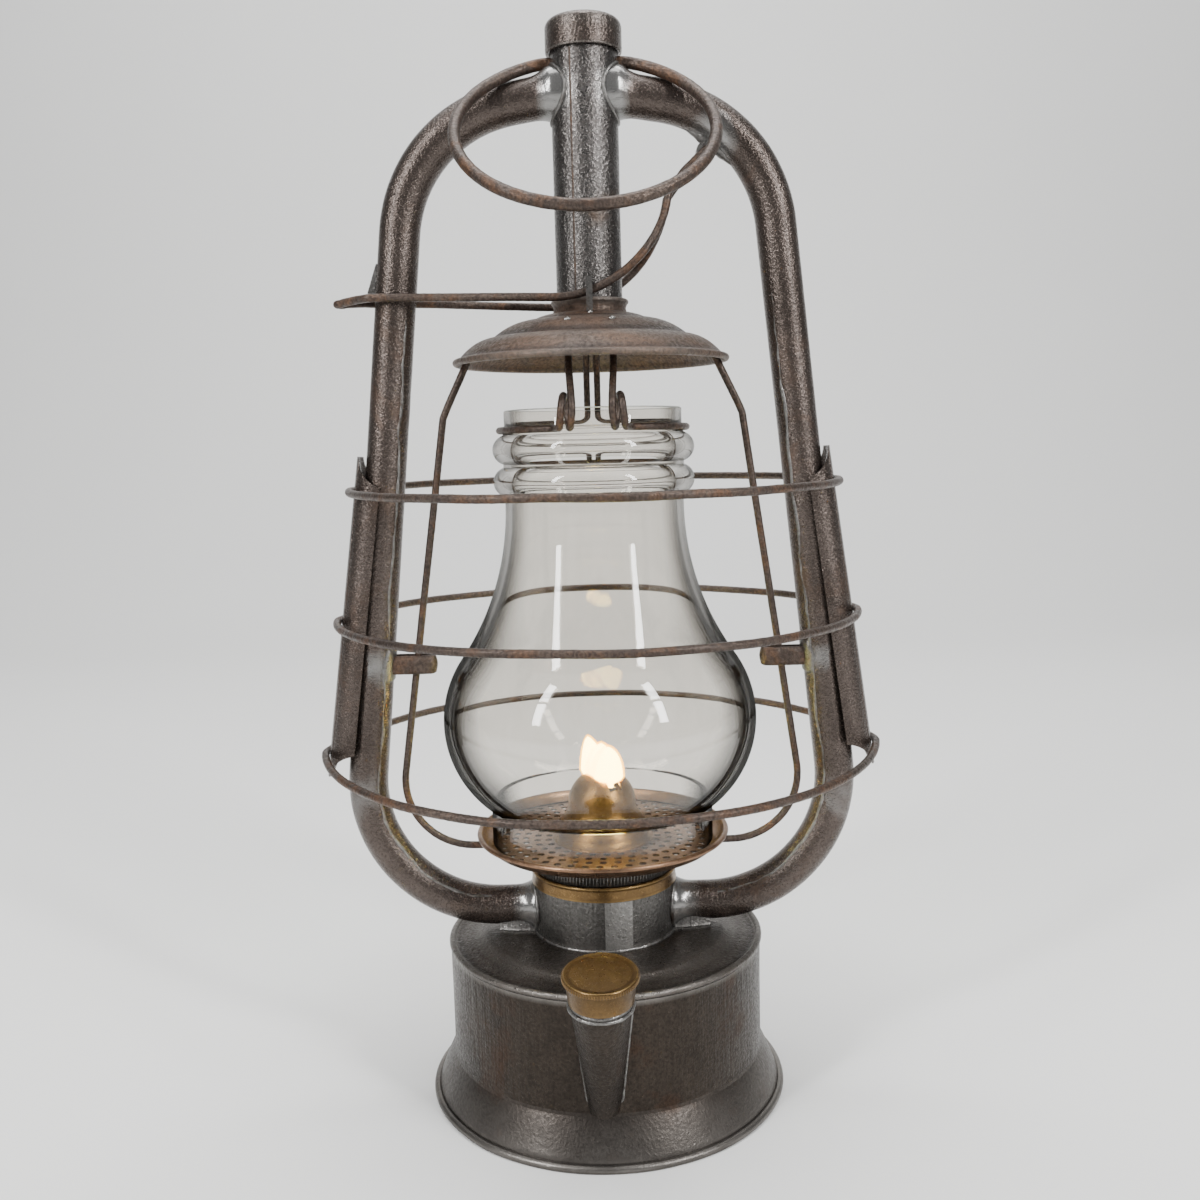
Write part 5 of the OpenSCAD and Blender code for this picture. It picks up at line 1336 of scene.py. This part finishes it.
def leverPath():
    px, pz = lever["pivot"]
    sx, sy = lever["straddle"]
    r, nx, nz, eye, low = (lever[key] for key in ("bowRadius", "noseX", "noseZ", "eye", "low"))
    bowX, start, wide, bend = lever["bowX"], lever["bowStart"], lever["spread"], lever["noseRadius"]
    bowZ, drop, out = low + r, nz - lever["noseDrop"], eye + lever["eyeOut"]
    startX, startZ = r - bowX, bowZ + r * sin(radians(start))
    half = [(px, -eye, pz), (px + (startX - px) * 0.6, -eye - lever["eyeBow"], (pz + startZ) / 2)]
    for i in range(33):
        angle = start + (-90 - start) * i / 32
        y = out + (wide - out) * ease((angle - start) / (lever["bowWide"] - start))
        a = radians(angle)
        half.append((r * cos(a) - bowX, -y, bowZ + r * sin(a)))
    for t in (0.2, 0.4, 0.6, 0.8):
        half.append((-bowX + (bowX - sx) * t, -wide - (sy - wide) * ease(t), low + (nz - low) * t))
    tip = sx + tube["radius"]
    run = nx - tip
    half += [(-sx - tube["radius"] * 0.4, -sy, nz), (-tip - 1, -sy + 0.8, nz),
        (-tip - run * 0.4, -(sy + bend) / 2, nz - 0.1), (-tip - run * 0.8, -bend - 0.5, nz - 0.6)]
    half += [(-nx + bend - bend * sin(radians(a)), -bend * cos(radians(a)), drop)
        for a in (0, 30, 60)]
    return half + [(-nx, 0, drop)] + [(x, -y, z) for x, y, z in reversed(half)]


# carrying ring: a loop with two elbows into the centre tube
ring = {"radius": 2.1, "reach": 82.7, "past": 2.5, "elbow": 12.0, "stub": 7.75, "pivot": 370.3, "hang": 45.0}


def ringPath():
    loop = (ring["reach"] + ring["past"]) / 2
    middleD, bend = ring["reach"] - loop, ring["elbow"]
    elbowX = sqrt((loop - bend) ** 2 - (middleD - bend) ** 2)
    turn = degrees(atan2(elbowX, middleD - bend))
    right = [(ring["stub"], 0.0)] + arcPoints(elbowX, bend, bend, -90, turn - 90, 8)
    flat = right + arcPoints(0, middleD, loop, turn - 90, 270 - turn, 90)[1:] + mirrored(right)[::-1][1:]
    a = radians(ring["hang"])
    return [(x, -d * sin(a), ring["pivot"] - d * cos(a)) for x, d in flat]


wireNode("lift_lever", "lift_lever_wire", "lift_lever", leverPath(), lever["radius"], closed=True, rough=0.14)
wireNode("carrying_ring", "carrying_ring_wire", "carrying_ring", ringPath(), ring["radius"], sides=20,
    spacing=1.0, rough=0.16, grain=0.6)
print("lever and ring made")


# flame on the wick: three tongues, the left one tallest, in a thin orange veil
# each tongue is its place along and across the slot, half width, foot, top, lean to the right and bluntness
flame = {"tongues": ((-3.6, -0.4, 6.6, 112.4, 131.5, -2.6, 1.9), (0.2, -0.2, 6.6, 112.4, 129.6, 0.2, 3.0),
    (3.4, 0.2, 7.0, 112.4, 128.8, 0.8, 3.4)), "thick": 0.8, "slotTurn": -60.0, "veilOver": 0.9,
    "rootDeep": 1.6, "rootHalf": 7.8, "rootLong": 3.0, "rootEase": 1.3, "swell": (0.45, 1.7),
    "close": 0.7, "tip": 0.02}


def makeFlame(name, over, material):
    rows, around = 28, 28
    along = Matrix.Rotation(radians(flame["slotTurn"]), 3, "Z")
    low, gain = flame["swell"]
    skins = []
    for place, across, half, foot, top, lean, blunt in flame["tongues"]:
        rings = []
        for i in range(rows + 1):
            t = i / rows
            grow = min(1.0, low + gain * t) * (1 - t ** blunt) ** flame["close"] + flame["tip"]
            z = foot + (top + over - foot) * t
            free = limited((z - foot - flame["rootLong"]) / flame["rootEase"])
            long = (half + over) * grow
            deep = long * flame["thick"]
            long += (min(long, flame["rootHalf"] - abs(place)) - long) * (1 - free)
            deep += (min(deep, flame["rootDeep"]) - deep) * (1 - free)
            ring = [(place + long * c, across * free + deep * s, z) for c, s, flat in circle(1, 0, around)]
            rings.append([along @ Vector(p) + Vector((lean * t * t, 0, 0)) for p in ring])
        skins.append(rings)
    piece = skinned(name, skins, 80)
    piece.data.materials.append(material)
    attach(piece, "wick")


makeFlame("flame_body", 0.0, flameGlow)
makeFlame("flame_veil", flame["veilOver"], flameVeil)
print("flame made")


# floor with a swept backdrop, lights and camera, in metres
# each lamp is its place, what it points at, width, height and watts
studio = {"frontY": -2.4, "wallY": 1.7, "wide": 4.0, "sweep": 0.7, "high": 3.2, "tone": (0.8, 0.8, 0.79),
    "lowTone": 0.96, "cloud": 3.0, "rough": 0.75, "world": (0.86, 0.88, 0.9), "worldStrength": 0.22,
    "lamps": {"frontLeft": ((-0.86, -0.83, 0.85), (0, 0, 0.2), 0.14, 0.95, 20),
        "frontRight": ((0.86, -0.83, 0.85), (0, 0, 0.2), 0.14, 0.95, 21),
        "overhead": ((0, 0.1, 1.5), (0, 0, 0.2), 1.0, 0.8, 14),
        "wallWash": ((0, 0.5, 1.9), (0, 1.7, 0.5), 2.2, 0.6, 28)},
    "eye": (0.00106, -0.433, 0.2398), "tilt": 7.44, "roll": -1.42, "lens": 35.83, "sensor": 36.0,
    "near": 0.01}


def makeFloor():
    sweep = studio["sweep"]
    curve = arcPoints(studio["wallY"] - sweep, sweep, sweep, -90, 0, 15)
    flat = [(studio["frontY"], 0.0)] + curve + [(studio["wallY"], studio["high"])]
    verts = [(side * studio["wide"], y, z) for y, z in flat for side in (-1, 1)]
    faces = [(2 * i, 2 * i + 1, 2 * i + 3, 2 * i + 2) for i in range(len(flat) - 1)]
    mesh = bpy.data.meshes.new("studio_floor")
    mesh.from_pydata(verts, [], faces)
    shadeSmooth(mesh)
    material, tree, shader = newMaterial("paleFloor")
    place = objectPlace(tree)
    low = tuple(c * studio["lowTone"] for c in studio["tone"])
    cloud = noiseField(tree, place, studio["cloud"], 3.0)
    feed(tree, shader, {"Base Color": mixColour(tree, cloud, rgba(low), rgba(studio["tone"])),
        "Roughness": studio["rough"]})
    mesh.materials.append(material)
    floor = show("studio_floor", mesh)


def makeWorld():
    world = bpy.data.worlds.new("studioWorld")
    bpy.context.scene.world = world
    world.use_nodes = True
    feed(world.node_tree, world.node_tree.nodes["Background"], {"Color": rgba(studio["world"]),
        "Strength": studio["worldStrength"]})


def makeLamp(name, spot, aim, wide, high, power):
    data = bpy.data.lights.new(name, "AREA")
    data.shape = "RECTANGLE"
    data.size = wide
    data.size_y = high
    data.energy = power
    lamp = show(name, data)
    lamp.location = spot
    lamp.rotation_euler = (Vector(aim) - Vector(spot)).to_track_quat("-Z", "Y").to_euler()


def makeCamera():
    data = bpy.data.cameras.new("photoCamera")
    data.lens = studio["lens"]
    data.sensor_width = studio["sensor"]
    data.clip_start = studio["near"]
    camera = show("photoCamera", data)
    tilt = Matrix.Rotation(radians(90 - studio["tilt"]), 4, "X")
    roll = Matrix.Rotation(radians(studio["roll"]), 4, "Z")
    camera.matrix_world = Matrix.Translation(studio["eye"]) @ tilt @ roll
    bpy.context.scene.camera = camera


makeFloor()
makeWorld()
for lampName, lampValues in studio["lamps"].items():
    makeLamp(lampName, *lampValues)
makeCamera()
print("studio made")
